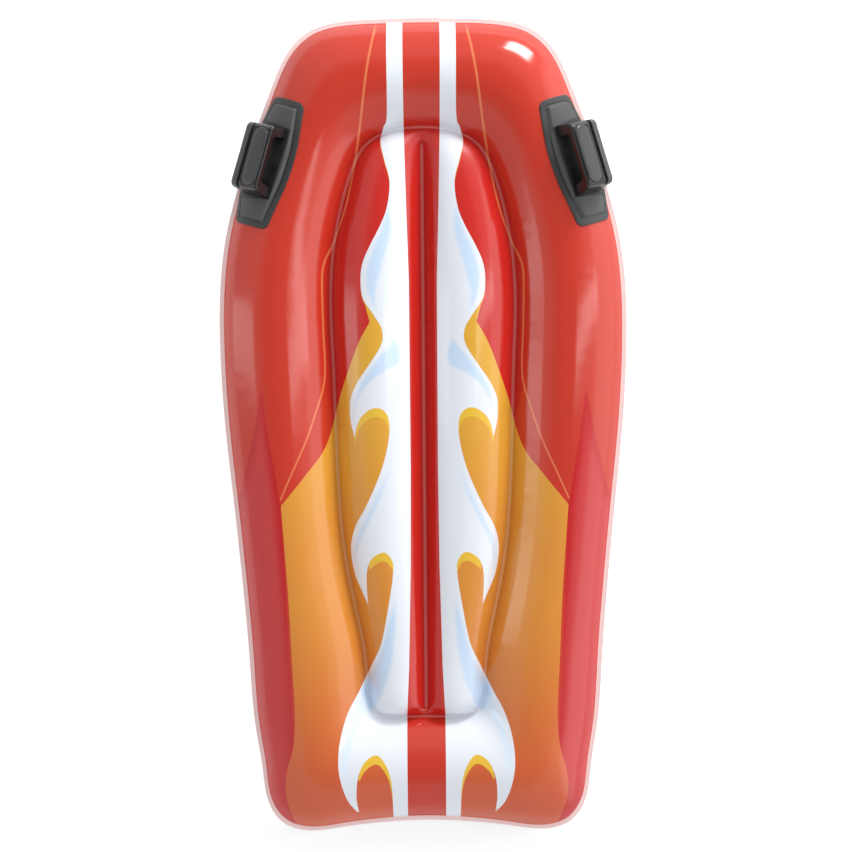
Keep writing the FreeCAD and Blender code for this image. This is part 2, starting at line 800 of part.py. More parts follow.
def main():
    doc = FreeCAD.newDocument("bodyboard")
    sheet = make_sheet(doc)
    hull = Hull(sheet)
    deck = part_feature(doc, "deck_sheet", hull.sheet_solid())
    ring_seat, ring_valve = valve(
        doc, sheet, hull, "ring", RING_VALVE_RIB, TUBE_CHORD, RING_VALVE_TILT, 1)
    centre_seat, centre_valve = valve(
        doc, sheet, hull, "centre", CENTRE_VALVE_RIB, LOBE_CHORD, CENTRE_VALVE_TILT, -1)
    lower = hull_sheet(doc, sheet, deck, [ring_seat, centre_seat])
    nodes = [deck, lower] + handles(doc, sheet, hull) + ring_valve + centre_valve
    doc.recompute()
    check(doc, nodes)
    os.makedirs("parts", exist_ok=True)
    for node in nodes:
        node.Shape.exportStep("parts/%s.step" % node.Label)
        print("%-24s %10.1f mm3" % (node.Label, node.Shape.Volume))
    flap_pivot = VECTOR(-sheet.flap_hinge, 0, -sheet.stem_length - sheet.flap_gap)
    for name, seat in (("ring", ring_seat), ("centre", centre_seat)):
        print(name, "valve axis", seat.Rotation.multVec(UP), "flap hinge at", seat.multVec(flap_pivot))
        print(name, "flap hinge axis", seat.Rotation.multVec(VECTOR(0, 1, 0)))


main()
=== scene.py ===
"""Looks of an inflatable bodyboard: printed film sheets, side handles and flush valves.

Shapes are worked out in millimetres, +X right, +Y towards the nose, +Z up through the deck, and
become metres when they are put into a mesh.
"""

import math
from types import SimpleNamespace

import bmesh
import bpy
import numpy as np
from bpy.props import FloatProperty, FloatVectorProperty, IntProperty, PointerProperty
from mathutils import Matrix, Vector


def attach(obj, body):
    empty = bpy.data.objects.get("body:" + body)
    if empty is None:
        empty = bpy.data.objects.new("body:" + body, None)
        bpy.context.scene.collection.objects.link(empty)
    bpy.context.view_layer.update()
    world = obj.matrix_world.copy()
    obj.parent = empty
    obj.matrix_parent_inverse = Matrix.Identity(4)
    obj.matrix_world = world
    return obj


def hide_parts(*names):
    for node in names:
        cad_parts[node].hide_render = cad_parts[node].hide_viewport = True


bl_info = {
    "name": "Inflatable bodyboard",
    "version": (1, 0, 0),
    "blender": (4, 5, 0),
    "location": "View3D > Sidebar > Bodyboard",
    "description": "Builds the film, handles, valves and stage of an inflatable bodyboard",
    "category": "Object",
}

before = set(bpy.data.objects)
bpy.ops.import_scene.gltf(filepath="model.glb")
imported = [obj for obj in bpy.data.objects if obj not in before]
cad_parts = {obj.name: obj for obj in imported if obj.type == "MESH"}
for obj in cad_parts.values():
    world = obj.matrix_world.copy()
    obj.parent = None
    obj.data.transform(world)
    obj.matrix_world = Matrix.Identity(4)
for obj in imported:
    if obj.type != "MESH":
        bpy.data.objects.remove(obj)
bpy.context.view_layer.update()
MM = 0.001
SAME_PLACE = 1e-6
UP = np.array([0.0, 0.0, 1.0])
MIRROR = np.array([-1.0, 1.0, 1.0])

# Ribs of the right half, tail to nose: outline, seam round the middle chamber, centre weld (Y only).
RIBS = [
    ((0, -495), (0, -366), -353),
    ((55, -497.5), (26, -366), -352),
    ((105, -503), (46, -365), -350),
    ((150, -507), (60, -361.5), -346),
    ((180, -497), (67.5, -355), -340),
    ((198, -471), (71.5, -345), -331),
    ((205, -430), (73, -332), -320),
    ((213, -380), (74.5, -312), -303),
    ((220.5, -290), (80, -266), -264),
    ((228, -200), (97, -183), -188),
    ((238, -100), (107, -92), -96),
    ((248.5, 0), (111, 2), 2),
    ((253.8, 90), (113.8, 88), 88),
    ((253.5, 165), (116, 152), 155),
    ((246.5, 230), (112.5, 215), 215),
    ((232, 290), (103, 268), 262),
    ((210, 360), (90, 313), 300),
    ((187, 422), (74.5, 344), 326),
    ((166, 466), (56, 359), 338),
    ((140, 491), (38, 366), 344),
    ((105, 502), (22, 369.5), 347),
    ((52, 506), (9, 370.8), 348.5),
    ((0, 507), (0, 371), 349),
]

# The print, right half, seen square from above. A run ends where the next one starts, in a sharp tip.
FLAME_RUNS = [
    [(43, 540), (43, 460), (43, 385), (48, 369), (51.5, 352), (47, 329), (40.2, 300), (43.8, 268),
     (52.5, 245), (64, 223), (73.5, 202), (77, 182), (74.5, 156), (60, 133), (51.2, 117), (52, 98),
     (68.8, 71), (82.5, 51), (91, 30), (91, 5), (86, -17)],
    [(86, -17), (83.8, -4), (77.5, 9), (65, 18.5), (53, 18.5), (44.5, 9), (42.7, -10), (47, -36),
     (56, -65), (72, -101), (86, -127), (92, -153), (88, -184), (78, -209), (71, -225)],
    [(71, -225), (72.5, -204), (72, -182), (66, -167), (51, -159), (41, -169), (39.7, -186),
     (46, -227), (55, -272), (66, -297), (82, -330), (97.5, -359), (107, -393), (108.5, -428),
     (99, -463), (84, -485)],
    [(84, -485), (87, -462), (85, -437), (77, -418), (62, -409), (50, -422), (43.5, -445),
     (42, -480), (42, -540)],
]
STRIPE_ENDS = [(-540, 23.8), (-363, 23.8), (-304, 20.9), (-174, 17.9), (-57, 17), (179, 17.4), (268, 20),
               (371, 22.5), (540, 23.5)]
ORANGE_RUNS = [
    [(74, 166), (71, 145), (66, 126)],
    [(66, 126), (79, 103), (91, 73), (106, 29), (122, -27), (147, -63), (177.5, -101)],
    [(177.5, -101), (174, -146), (169, -217), (165.5, -289), (162, -360), (165, -400), (173, -429),
     (175, -458), (168, -486), (158, -512), (156, -540)],
]
PINSTRIPE = [(57.5, 490), (67, 439), (77.5, 364), (93, 281), (110, 230), (122, 203), (125.5, 180),
             (124.5, 120), (123, 58), (134, 15), (147, -23), (163, -59), (177.5, -92)]
CRIMSON_RUNS = [
    [(200, 46), (193, -10), (177.5, -101)],
    [(177.5, -101), (170, -260), (163, -400), (160, -540)],
    [(160, -540), (300, -540), (300, -220), (262, -150), (232, -90), (213, -20), (200, 46)],
]
BLUE_PATCHES = [
    [(41, 276), (52, 241), (64, 213), (71, 184), (68, 158), (56, 137), (58, 160), (53, 183), (45, 212),
     (38, 241)],
    [(36, 108), (47, 93), (62, 75), (75, 56), (85, 36), (86, 12), (79, 32), (68, 48), (54, 60), (40, 68),
     (30, 74), (28, 88), (31, 98)],
    [(39, -45), (56, -80), (73, -114), (84, -137), (89, -161), (84, -188), (83.5, -161), (77, -141),
     (66, -119), (51, -86)],
    [(37, -214), (47, -245), (54, -272), (64, -300), (75, -321), (82, -337), (69, -360), (54, -337),
     (48, -321), (42, -300), (38, -272), (35.5, -240)],
]
PALE_PATCHES = [
    [(74, -336), (84, -346), (99, -377), (105.5, -406), (104, -430), (99, -458), (97, -430), (94, -406),
     (85, -377), (72, -352)],
]
SHADE_REACH = 11.0
TRIM_REACH = 2.6
TRIM_FROM = 60.0
HOOK_REACH = [(-482, 0), (-480, 83), (-400, 86), (-240, 69), (-160, 70), (-60, 84), (-20, 87), (30, 87),
              (31, 0)]
PRINT_MARGIN = 12.0
FLANGE_DARKNESS = 0.05

# Where the handles and the valves sit, in ribs along the tube and degrees of tilt.
HANDLE_RIB = 15.62
HANDLE_TILT = 33.0
RING_VALVE_RIB = 1.0
RING_VALVE_TILT = -31.0
CENTRE_VALVE_RIB = 8.0


def colour(red, green, blue):
    """An sRGB colour of 0 to 255 as linear RGBA."""
    parts = np.array([red, green, blue]) / 255.0
    linear = np.where(parts <= 0.04045, parts / 12.92, ((parts + 0.055) / 1.055) ** 2.4)
    return (*map(float, linear), 1.0)


# ---- curves and sections ----

RISE_LIMIT = 1.02
LEVELLING = 8


def clamped_spline(stations, values, slopes, at):
    """A cubic through values at stations, twice smooth, whose end slopes are given.

    The slopes inside solve the usual three-term balance of neighbouring chords; each span is then the
    Hermite cubic of its two values and two slopes.
    """
    count = len(stations)
    spans = np.diff(stations)
    rises = np.diff(values) / spans
    system = np.eye(count)
    known = np.zeros(count)
    known[0], known[-1] = slopes
    inner = np.arange(1, count - 1)
    system[inner, inner - 1] = spans[1:]
    system[inner, inner] = 2 * (spans[1:] + spans[:-1])
    system[inner, inner + 1] = spans[:-1]
    known[1:-1] = 3 * (rises[:-1] * spans[1:] + rises[1:] * spans[:-1])
    slope = np.linalg.solve(system, known)
    span = np.clip(np.searchsorted(stations, at, side="right") - 1, 0, count - 2)
    width = spans[span]
    part = (at - stations[span]) / width
    first, second = values[span], values[span + 1]
    return (
        first * (1 + 2 * part) * (1 - part) ** 2
        + width * slope[span] * part * (1 - part) ** 2
        + second * part ** 2 * (3 - 2 * part)
        + width * slope[span + 1] * part ** 2 * (part - 1)
    )


def smoothstep(low, high, value):
    part = np.clip((value - low) / (high - low), 0, 1)
    return part * part * (3 - 2 * part)


def unit(vectors):
    return vectors / np.maximum(np.linalg.norm(vectors, axis=-1, keepdims=True), 1e-9)


def walk(line):
    """The distance walked along a line of points, at each of them."""
    return np.concatenate([[0.0], np.cumsum(np.linalg.norm(np.diff(line, axis=0), axis=1))])


class Sections:
    """The board's cross-sections at any number of ribs at once, for the right half.

    Each is a flat weld, an arc over the middle chamber, a flat weld, an arc over the ring tube and a
    flat flange. An arc's height is a fixed share of its chord, levelling off at the tube's rise.
    """

    def __init__(self, ribs, settings):
        self.settings = settings
        table = np.array([(*outline, *seam, centre) for outline, seam, centre in RIBS], float)
        stations = walk(table[:, :2])
        steps = np.diff(stations)
        at = np.interp(ribs, np.arange(len(RIBS)), stations)
        self.station = at

        def through(column, square):
            values = table[:, column]
            ends = (0.0, 0.0)
            if square:
                ends = ((values[1] - values[0]) / steps[0], (values[-1] - values[-2]) / steps[-1])
            return clamped_spline(stations, values, ends, at)

        def flat(x, y):
            return np.stack([x, y, np.zeros_like(x)], axis=-1)

        self.outline = flat(through(0, True), through(1, False))
        self.seam = flat(through(2, True), through(3, False))
        self.centre = flat(np.zeros_like(at), through(4, False))
        inward = unit(self.seam - self.centre)
        outward = unit(self.outline - self.seam)
        half_seam = settings.seam_weld / 2
        self.lobe = (self.centre + inward * settings.centre_weld / 2, self.seam - inward * half_seam)
        self.tube = (self.seam + outward * half_seam, self.outline - outward * settings.flange_width)

    def rise(self, chord):
        """A fixed share of the chord while that is small, levelling off at the limit."""
        free = self.settings.rise_ratio * chord
        limit = self.settings.tube_rise * RISE_LIMIT
        return free / (1 + (free / limit) ** LEVELLING) ** (1 / LEVELLING)

    def arc(self, chord):
        """Centre, direction, radius and half-angle of the film's outer arc over a chord."""
        start, end = chord
        length = np.linalg.norm(end - start, axis=-1)
        film = self.settings.film
        sag = self.rise(length) - film
        radius = (length ** 2 / 4 + sag ** 2) / (2 * sag)
        centre = (start + end) / 2
        centre[..., 2] += film + sag - radius
        half_angle = np.arcsin(np.minimum(1, length / (2 * radius)))
        return centre, unit(end - start), radius, half_angle

    def on_arc(self, chord, angle, offset=0.0):
        """Points of the arc, turned from its top by an angle towards its far end and lifted off it."""
        centre, along, radius, _ = self.arc(chord)
        reach = (radius + offset)[..., None]
        return centre + along * reach * np.sin(angle)[..., None] + UP * reach * np.cos(angle)[..., None]


# ---- meshes ----


def grid_faces(rows, columns, close_rows=False, close_columns=False):
    """Quads over a grid of vertices numbered row by row, optionally joined end to end."""
    row = np.arange(rows if close_rows else rows - 1)
    column = np.arange(columns if close_columns else columns - 1)
    row, column = np.meshgrid(row, column, indexing="ij")
    below, right = (row + 1) % rows, (column + 1) % columns
    corners = [(row, column), (row, right), (below, right), (below, column)]
    return np.stack([down * columns + along for down, along in corners], axis=-1).reshape(-1, 4)


def put_mesh(name, points, faces, sharp_degrees, **attributes):
    """A mesh object at the origin from millimetre points, faces and a value of each attribute per point.

    Points in one place are merged and all faces turned the same way. It is smooth but for sharp folds.
    """
    mesh = bpy.data.meshes.new(name)
    mesh.from_pydata(np.reshape(points, (-1, 3)) * MM, [], [list(map(int, face)) for face in faces])
    piece = bpy.data.objects.new(name, mesh)
    bpy.context.scene.collection.objects.link(piece)
    for attribute, values in attributes.items():
        add_attribute(piece, attribute, values)
    work = bmesh.new()
    work.from_mesh(mesh)
    bmesh.ops.remove_doubles(work, verts=work.verts, dist=SAME_PLACE)
    bmesh.ops.dissolve_degenerate(work, edges=work.edges, dist=SAME_PLACE / 10)
    bmesh.ops.recalc_face_normals(work, faces=work.faces)
    work.to_mesh(mesh)
    work.free()
    mesh.shade_smooth()
    mesh.set_sharp_from_angle(angle=math.radians(sharp_degrees))
    return piece


def points_of(piece):
    """The mesh's vertices, in millimetres."""
    found = np.empty(len(piece.data.vertices) * 3, np.float32)
    piece.data.vertices.foreach_get("co", found)
    return found.reshape(-1, 3).astype(float) / MM


def add_attribute(piece, name, values):
    layer = piece.data.attributes.new(name, "FLOAT", "POINT")
    layer.data.foreach_set("value", np.asarray(values, np.float32))


# ---- the print ----

BATCH = 8000


def rounded_run(points, steps=6):
    """A smooth run through the points: each span is the Catmull-Rom cubic of its four neighbours."""
    points = np.array(points, float)
    padded = np.vstack([2 * points[0] - points[1], points, 2 * points[-1] - points[-2]])
    before, start, end, after = padded[:-3], padded[1:-2], padded[2:-1], padded[3:]
    part = (np.arange(steps) / steps)[:, None, None]
    curve = 0.5 * (
        2 * start
        + (end - before) * part
        + (2 * before - 5 * start + 4 * end - after) * part ** 2
        + (3 * start - before - 3 * end + after) * part ** 3
    )
    return np.vstack([curve.transpose(1, 0, 2).reshape(-1, 2), points[-1:]])


def outline_of(runs, closing=()):
    """One closed outline from smooth runs that meet in sharp corners, closed through extra points."""
    return np.vstack([rounded_run(run) for run in runs] + [np.array(closing, float).reshape(-1, 2)])


def edge_distance(points, path, closed=True):
    """Distance from each point to the path's nearest segment, and the side of it the point is on."""
    start = path if closed else path[:-1]
    end = np.roll(path, -1, axis=0) if closed else path[1:]
    keep = np.linalg.norm(end - start, axis=1) > SAME_PLACE
    start, end = start[keep], end[keep]
    along = end - start
    length = (along ** 2).sum(axis=1)
    best = np.full(len(points), np.inf)
    side = np.ones(len(points))
    inside = np.zeros(len(points), bool)
    for first in range(0, len(points), BATCH):
        part = slice(first, first + BATCH)
        offset = points[part, None, :] - start
        reach = np.clip((offset * along).sum(axis=2) / length, 0, 1)
        gap = np.hypot(*(offset - along * reach[..., None]).transpose(2, 0, 1))
        nearest = gap.argmin(axis=1)
        rows = np.arange(len(nearest))
        best[part] = gap[rows, nearest]
        turn = along[:, 0] * offset[..., 1] - along[:, 1] * offset[..., 0]
        side[part] = np.where(turn[rows, nearest] < 0, -1, 1)
        above = (start[:, 1] > points[part, None, 1]) != (end[:, 1] > points[part, None, 1])
        slope = along[:, 0] / np.where(along[:, 1] == 0, 1e-9, along[:, 1])
        crossing = start[:, 0] + (points[part, None, 1] - start[:, 1]) * slope
        inside[part] = ((above & (points[part, None, 0] < crossing)).sum(axis=1) % 2).astype(bool)
    return best, side, inside


def inside_distance(points, outline):
    """Millimetres inside a closed outline, negative outside, worked out only near and inside it."""
    result = np.full(len(points), -PRINT_MARGIN)
    low, high = outline.min(axis=0) - PRINT_MARGIN, outline.max(axis=0) + PRINT_MARGIN
    near = ((points > low) & (points < high)).all(axis=1)
    gap, _, inside = edge_distance(points[near], outline)
    result[near] = np.where(inside, gap, -gap)
    return np.clip(result, -PRINT_MARGIN, PRINT_MARGIN)


def side_distance(points, path):
    """Signed millimetres from an open line."""
    gap, side, _ = edge_distance(points, path, closed=False)
    return np.clip(gap * side, -PRINT_MARGIN, PRINT_MARGIN)


def print_fields(piece):
    """Every edge of the print as a signed distance, so that the film's material can cut it crisply."""
    plan = points_of(piece)[:, :2]
    plan[:, 0] = np.abs(plan[:, 0])
    across, nose = plan.T

    def lowered(by):
        """The flames' outline again, a little nearer the tail."""
        return inside_distance(plan, flame - np.array([0, by]))

    def patches(outlines):
        return np.max([inside_distance(plan, rounded_run(patch + patch[:1])) for patch in outlines], axis=0)

    flame = outline_of(FLAME_RUNS, [(-60, -540), (-60, 540)])
    hooked = across < np.interp(nose, *np.transpose(HOOK_REACH))
    fields = {
        "stripe": across - np.interp(nose, *np.transpose(STRIPE_ENDS)),
        "flames": inside_distance(plan, flame),
        "orange": inside_distance(plan, outline_of(ORANGE_RUNS, [(-60, -540), (-60, 166)])),
        "pinstripe": side_distance(plan, rounded_run(PINSTRIPE)),
        "crimson": inside_distance(plan, outline_of(CRIMSON_RUNS)),
        "blue": patches(BLUE_PATCHES),
        "pale_blue": patches(PALE_PATCHES),
        "trim": np.where(nose > TRIM_FROM, lowered(TRIM_REACH), -PRINT_MARGIN),
        "shade": np.where(hooked, lowered(SHADE_REACH), -PRINT_MARGIN),
    }
    for name, values in fields.items():
        add_attribute(piece, name, values)


# ---- the film ----

FINE_STEPS = 40
SEAM_WEIGHT = 0.6
PUCKER_REACH = 7.0
SHORT_ARC = 30.0
NOSE_FADE = 160.0
PUCKER_WAVES = (17.0, 23.0, 31.0, 47.0, 71.0)
RING_BLEND = 12.0
HOLE_RADIUS = 9.0
HOLE_REACH = 14.0
RIB_STEP = 0.02


def ripple(along, seed):
    """Irregular puckers along a weld: five waves of unlike length, of about unit height in all."""
    rng = np.random.default_rng(seed)
    total = np.zeros_like(along)
    for wave in PUCKER_WAVES:
        total += rng.uniform(0.5, 1.0) * np.sin(2 * np.pi * along / wave + rng.uniform(0, 2 * np.pi))
    return total / (len(PUCKER_WAVES) / 2)


def film_half(settings, side, under):
    """One half of a film sheet as a grid of rows across and columns along, tail to nose.

    A row is a fixed place across the section and a column is a rib. On the arcs the film stands off
    its circle by the puckers of the nearest weld, which die away within a few centimetres.
    """
    columns = settings.columns
    ribs_at = np.linspace(0, len(RIBS) - 1, FINE_STEPS * len(RIBS))
    coarse = Sections(ribs_at, settings)
    walked = walk((coarse.outline + coarse.seam * SEAM_WEIGHT) / (1 + SEAM_WEIGHT))
    ribs = np.interp(np.linspace(0, walked[-1], columns), walked, ribs_at)
    section = Sections(ribs, settings)
    film = UP * settings.film
    rows, weld = [], []

    def flat_rows(start, end, count, amount):
        for part in np.arange(count) / count:
            rows.append(start + (end - start) * part + film)
            weld.append(np.full(columns, amount))

    def arc_rows(chord, seam, count, seeds):
        _, _, radius, half_angle = section.arc(chord)
        seam_at = side * walk(seam)
        rim_at = side * section.station
        depth = settings.pucker * np.minimum(1, 2 * half_angle * radius / SHORT_ARC)
        depth = depth * smoothstep(0, NOSE_FADE, section.station[-1] - section.station)
        for part in np.arange(count) / count:
            angle = half_angle * (2 * part - 1)
            from_start = (angle + half_angle) * radius
            from_end = (half_angle - angle) * radius
            lift = ripple(seam_at, seeds[0]) * fade(from_start) + ripple(rim_at, seeds[1]) * fade(from_end)
            rows.append(section.on_arc(chord, angle, depth * lift))
            weld.append(np.zeros(columns))

    def fade(distance):
        """Nothing at the weld itself, most of it a little way off, and gone further out."""
        return (distance / PUCKER_REACH) * np.exp(1 - distance / PUCKER_REACH)

    start, end = section.lobe
    flat_rows(section.centre, start, 2, 1.0)
    arc_rows(section.lobe, section.lobe[1], settings.lobe_rows, (3 + under, 5 + under))
    flat_rows(end, section.tube[0], 2, 1.0)
    arc_rows(section.tube, section.tube[0], settings.tube_rows, (7 + under, 11 + under))
    flat_rows(section.tube[1], section.outline, 3, 2.0)
    rows += [section.outline + film, section.outline]
    weld += [np.full(columns, 2.0), np.full(columns, 2.0)]
    grid = np.array(rows) * np.array([side, 1, -1 if under else 1])
    return grid + UP * settings.mid_height, np.array(weld)


def film_sheet(name, settings, under):
    """Both halves of a sheet, joined along the centre line and at the nose and the tail."""
    right, weld_right = film_half(settings, 1, under)
    left, weld_left = film_half(settings, -1, under)
    grid = np.concatenate([right, left[:, -2:0:-1]], axis=1)
    weld = np.concatenate([weld_right, weld_left[:, -2:0:-1]], axis=1)
    rows, columns = weld.shape
    ring = np.repeat(smoothstep(0, RING_BLEND, np.arange(rows) - settings.lobe_rows), columns)
    faces = grid_faces(rows, columns, close_columns=True)
    piece = put_mesh(name, grid, faces, sharp_degrees=40, weld=weld.ravel(), ring=ring)
    face_outwards(piece, -1 if under else 1)
    return piece


def valve_seat(settings, rib, over_lobe, tilt, side):
    """The point and the outward direction of a valve on the underside, square to the film both ways."""
    section = Sections(rib + np.array([-RIB_STEP, 0.0, RIB_STEP]), settings)
    chord = section.lobe if over_lobe else section.tube
    angle = math.radians(tilt)
    behind, point, ahead = section.on_arc(chord, np.full(3, angle))
    along = section.arc(chord)[1][1]
    turned_over = np.array([side, 1, -1])
    outward = (along * math.sin(angle) + UP * math.cos(angle)) * turned_over
    around = (along * math.cos(angle) - UP * math.sin(angle)) * turned_over
    square = unit(np.cross((ahead - behind) * turned_over, around))
    return point * turned_over + UP * settings.mid_height, square * np.sign(square @ outward)


def cut_hole(piece, point, axis):
    """A round hole about an axis: the vertices inside it go, and the rim left behind is drawn onto it."""
    def from_axis(places):
        """Offsets square to the axis, their lengths, and the distances along it."""
        offset = places - point
        depth = offset @ axis
        out = offset - depth[:, None] * axis
        return out, np.linalg.norm(out, axis=1), depth

    mesh = piece.data
    _, distance, depth = from_axis(points_of(piece))
    work = bmesh.new()
    work.from_mesh(mesh)
    work.verts.ensure_lookup_table()
    doomed = np.flatnonzero((np.abs(depth) < HOLE_REACH) & (distance < HOLE_RADIUS))
    bmesh.ops.delete(work, geom=[work.verts[index] for index in doomed], context="VERTS")
    work.to_mesh(mesh)
    work.free()
    edge_of_corner = np.empty(len(mesh.loops), np.int32)
    mesh.loops.foreach_get("edge_index", edge_of_corner)
    ends = np.empty(len(mesh.edges) * 2, np.int32)
    mesh.edges.foreach_get("vertices", ends)
    lone = np.bincount(edge_of_corner, minlength=len(mesh.edges)) == 1
    places = points_of(piece)
    out, distance, _ = from_axis(places)
    rim = np.unique(ends.reshape(-1, 2)[lone])
    rim = rim[distance[rim] < HOLE_REACH]
    places[rim] += unit(out[rim]) * (HOLE_RADIUS - distance[rim])[:, None]
    mesh.vertices.foreach_set("co", (places * MM).ravel().astype(np.float32))
    mesh.update()


def face_outwards(piece, up):
    """Turns a sheet over if its biggest faces look the wrong way along Z."""
    normals = np.empty(len(piece.data.polygons) * 3, np.float32)
    piece.data.polygons.foreach_get("normal", normals)
    if normals.reshape(-1, 3)[:, 2].sum() * up < 0:
        piece.data.flip_normals()


# ---- the handles ----

SEAT_REACH = 2.2
SEAT_STEPS = 400
PLATE_GAP = 0.1
PLATE_THICKNESS = 1.9
PLATE_EDGE_RADIUS = 1.2
PLATE_HALF_LENGTH = 82.0
PLATE_BOW = [(0, 36), (14, 35.8), (30, 34.6), (50, 31.2), (68, 27.6), (82, 25)]
PLATE_CORNER = 8.0
FLANGE_WIDTH = 10.0
PAD_RISE = 2.6
GROOVE_DEPTH = 1.1
GROOVE_INSET = -1.6
TAIL_LEAN, NOSE_LEAN = 4.0, 5.0
LEAN_FROM, LEAN_WIDTH = 20.0, 25.0
# Painted shade under the grip: how far along it reaches either way, and from where across it starts,
# outwards.
SHADE_HALF_LENGTH, SHADE_FROM = 48.0, -20.8
GRIP_TOP = 33.0
GRIP_OUTER = [(-47.5, -9), (-40.5, GRIP_TOP), (40.5, GRIP_TOP), (47.5, -9)]
GRIP_INNER = [(-31.5, -9), (-28.3, 22.5), (28.3, 22.5), (31.5, -9)]
GRIP_HALF_WIDTH = 20.0
GRIP_CORNER = 2.6
GRIP_ROUNDED = (24.0, 29.0)
GRIP_GROOVE = (7.4, 8.2, 10.8, 11.8)
GRIP_GROOVE_DEPTH = 6.0
RECESS_RIM = (10.6, 11.6)
RECESS_DEPTH = 1.5
OVAL_ACROSS = -6.5
OVAL_HALF_LENGTH = 25.5
INSERT_RADIUS = 10.9
RAIL_ACROSS = 11.2
# The insert's rings: a share of its radius and a height over the grip's outer face.
INSERT_RINGS = [(1, -1.6), (1, -0.1), (0.985, 0.4), (0.95, 0.75), (0.89, 1), (0.8, 1.2), (0.65, 1.4),
                (0.45, 1.5), (0.25, 1.55), (0.08, 1.57)]


class HandleSeat:
    """The place of the right handle on the tube, and points on the film around it."""

    def __init__(self, settings):
        self.settings = settings
        self.tilt = math.radians(HANDLE_TILT)
        self.ribs = np.linspace(HANDLE_RIB - SEAT_REACH, HANDLE_RIB + SEAT_REACH, SEAT_STEPS)
        crest = Sections(self.ribs, settings)
        line = crest.on_arc(crest.tube, np.full(len(self.ribs), self.tilt))
        self.walked = walk(line) - np.interp(HANDLE_RIB, self.ribs, walk(line))
        here = Sections(np.array([HANDLE_RIB]), settings)
        along = here.arc(here.tube)[1][0]
        self.base = here.on_arc(here.tube, np.array([self.tilt]))[0] + UP * settings.mid_height
        self.outward = along * math.sin(self.tilt) + UP * math.cos(self.tilt)
        self.across = along * math.cos(self.tilt) - UP * math.sin(self.tilt)
        self.forward = np.cross(self.outward, self.across)

    def on_film(self, across, along, lift):
        """Points at a distance across and along the tube's skin, lifted off it."""
        ribs = np.interp(along, self.walked, self.ribs)
        section = Sections(ribs.ravel(), self.settings)
        _, _, radius, _ = section.arc(section.tube)
        angle = self.tilt + across.ravel() / radius
        points = section.on_arc(section.tube, angle, lift.ravel())
        return points.reshape(*across.shape, 3) + UP * self.settings.mid_height

    def place(self, across, along, out):
        """Points of the handle's own flat frame."""
        return (self.base + across[..., None] * self.across + along[..., None] * self.forward
                + out[..., None] * self.outward)


def plate_half_width(along):
    """The plate's half-width: a long bow that narrows to straight ends with rounded corners."""
    reach = np.abs(along)
    bow = np.interp(reach, *np.transpose(PLATE_BOW))
    from_end = np.clip(PLATE_HALF_LENGTH - reach, 0, PLATE_CORNER)
    return bow - (PLATE_CORNER - np.sqrt(PLATE_CORNER ** 2 - (PLATE_CORNER - from_end) ** 2))


def plate_points(settings):
    """A moulded plate: a thin flange, a step up to a raised pad, and a shallow groove round the pad.

    Rows run across and columns along, crowded towards the rim, where the edge is a quarter round.
    """
    along = PLATE_HALF_LENGTH * np.sin(np.linspace(-1, 1, settings.plate_columns) * np.pi / 2)
    width = plate_half_width(along)
    across = np.sin(np.linspace(-1, 1, settings.plate_rows) * np.pi / 2)[:, None] * width
    along = np.broadcast_to(along, across.shape)
    rim = np.minimum(width - np.abs(across), PLATE_HALF_LENGTH - np.abs(along))
    inset = rim - FLANGE_WIDTH
    edge = np.sqrt(np.clip(1 - (1 - np.clip(rim / PLATE_EDGE_RADIUS, 0, 1)) ** 2, 0, 1))
    pad = PAD_RISE * smoothstep(-0.4, 2.2, inset)
    groove = GROOVE_DEPTH * np.exp(-(inset - GROOVE_INSET) ** 2)
    lift = PLATE_GAP + PLATE_THICKNESS * edge + pad - groove
    lean = (TAIL_LEAN * smoothstep(LEAN_FROM, PLATE_HALF_LENGTH, -along)
            - NOSE_LEAN * smoothstep(LEAN_FROM, PLATE_HALF_LENGTH, along))
    return across, along + lean * across / LEAN_WIDTH, lift, inset


def plate_mesh(name, seat, settings, mirror):
    """The plate's top and its bottom, joined round the rim, and a mask of painted shade under the grip,
    with the flange made part way darker.
    """
    across, along, lift, inset = plate_points(settings)
    top = seat.on_film(across, along, lift)
    bottom = seat.on_film(across, along, np.full(lift.shape, PLATE_GAP / 2))
    points = np.stack([top, bottom]) * (MIRROR if mirror else 1)
    rows, columns = lift.shape
    faces = grid_faces(rows, columns)
    under = faces[:, ::-1] + rows * columns
    rim = np.concatenate([
        np.arange(columns),
        np.arange(1, rows) * columns + columns - 1,
        (rows - 1) * columns + np.arange(columns - 2, -1, -1),
        np.arange(rows - 2, 0, -1) * columns,
    ])
    ahead = np.roll(rim, -1)
    wall = np.stack([rim, ahead, ahead + rows * columns, rim + rows * columns], axis=-1)
    # Painted shade: under and beyond the grip the plate takes the grip's black; the flange outside the
    # groove is made part way darker.
    beneath = np.minimum(SHADE_HALF_LENGTH - np.abs(along), across - SHADE_FROM)
    beneath = np.maximum(beneath, np.where(inset < GROOVE_INSET, FLANGE_DARKNESS, -1.0))
    return put_mesh(name, points, np.concatenate([faces, under, wall]), sharp_degrees=50,
                    beneath=np.tile(beneath.ravel(), 2))


def rounded_profile(corners, rounds, steps):
    """A line through corners with each corner turned by a quarter-like arc of its own radius."""
    corners = np.array(corners, float)
    line = [corners[:1]]
    for before, corner, after, radius in zip(corners, corners[1:], corners[2:], rounds):
        back, on = unit(before - corner), unit(after - corner)
        opening = math.acos(np.clip(back @ on, -1, 1))
        reach = radius / math.tan(opening / 2)
        hub = corner + unit(back + on) * radius / math.sin(opening / 2)
        first, last = corner + back * reach - hub, corner + on * reach - hub
        turn = np.pi - opening
        part = np.linspace(0, 1, steps)[:, None]
        line.append(hub + (np.sin((1 - part) * turn) * first + np.sin(part * turn) * last) / math.sin(turn))
    line.append(corners[-1:])
    return np.vstack(line)


def spread_along(line, count):
    """The same line as evenly spaced points."""
    walked = walk(line)
    at = np.linspace(0, walked[-1], count)
    return np.stack([np.interp(at, walked, places) for places in line.T], axis=-1)


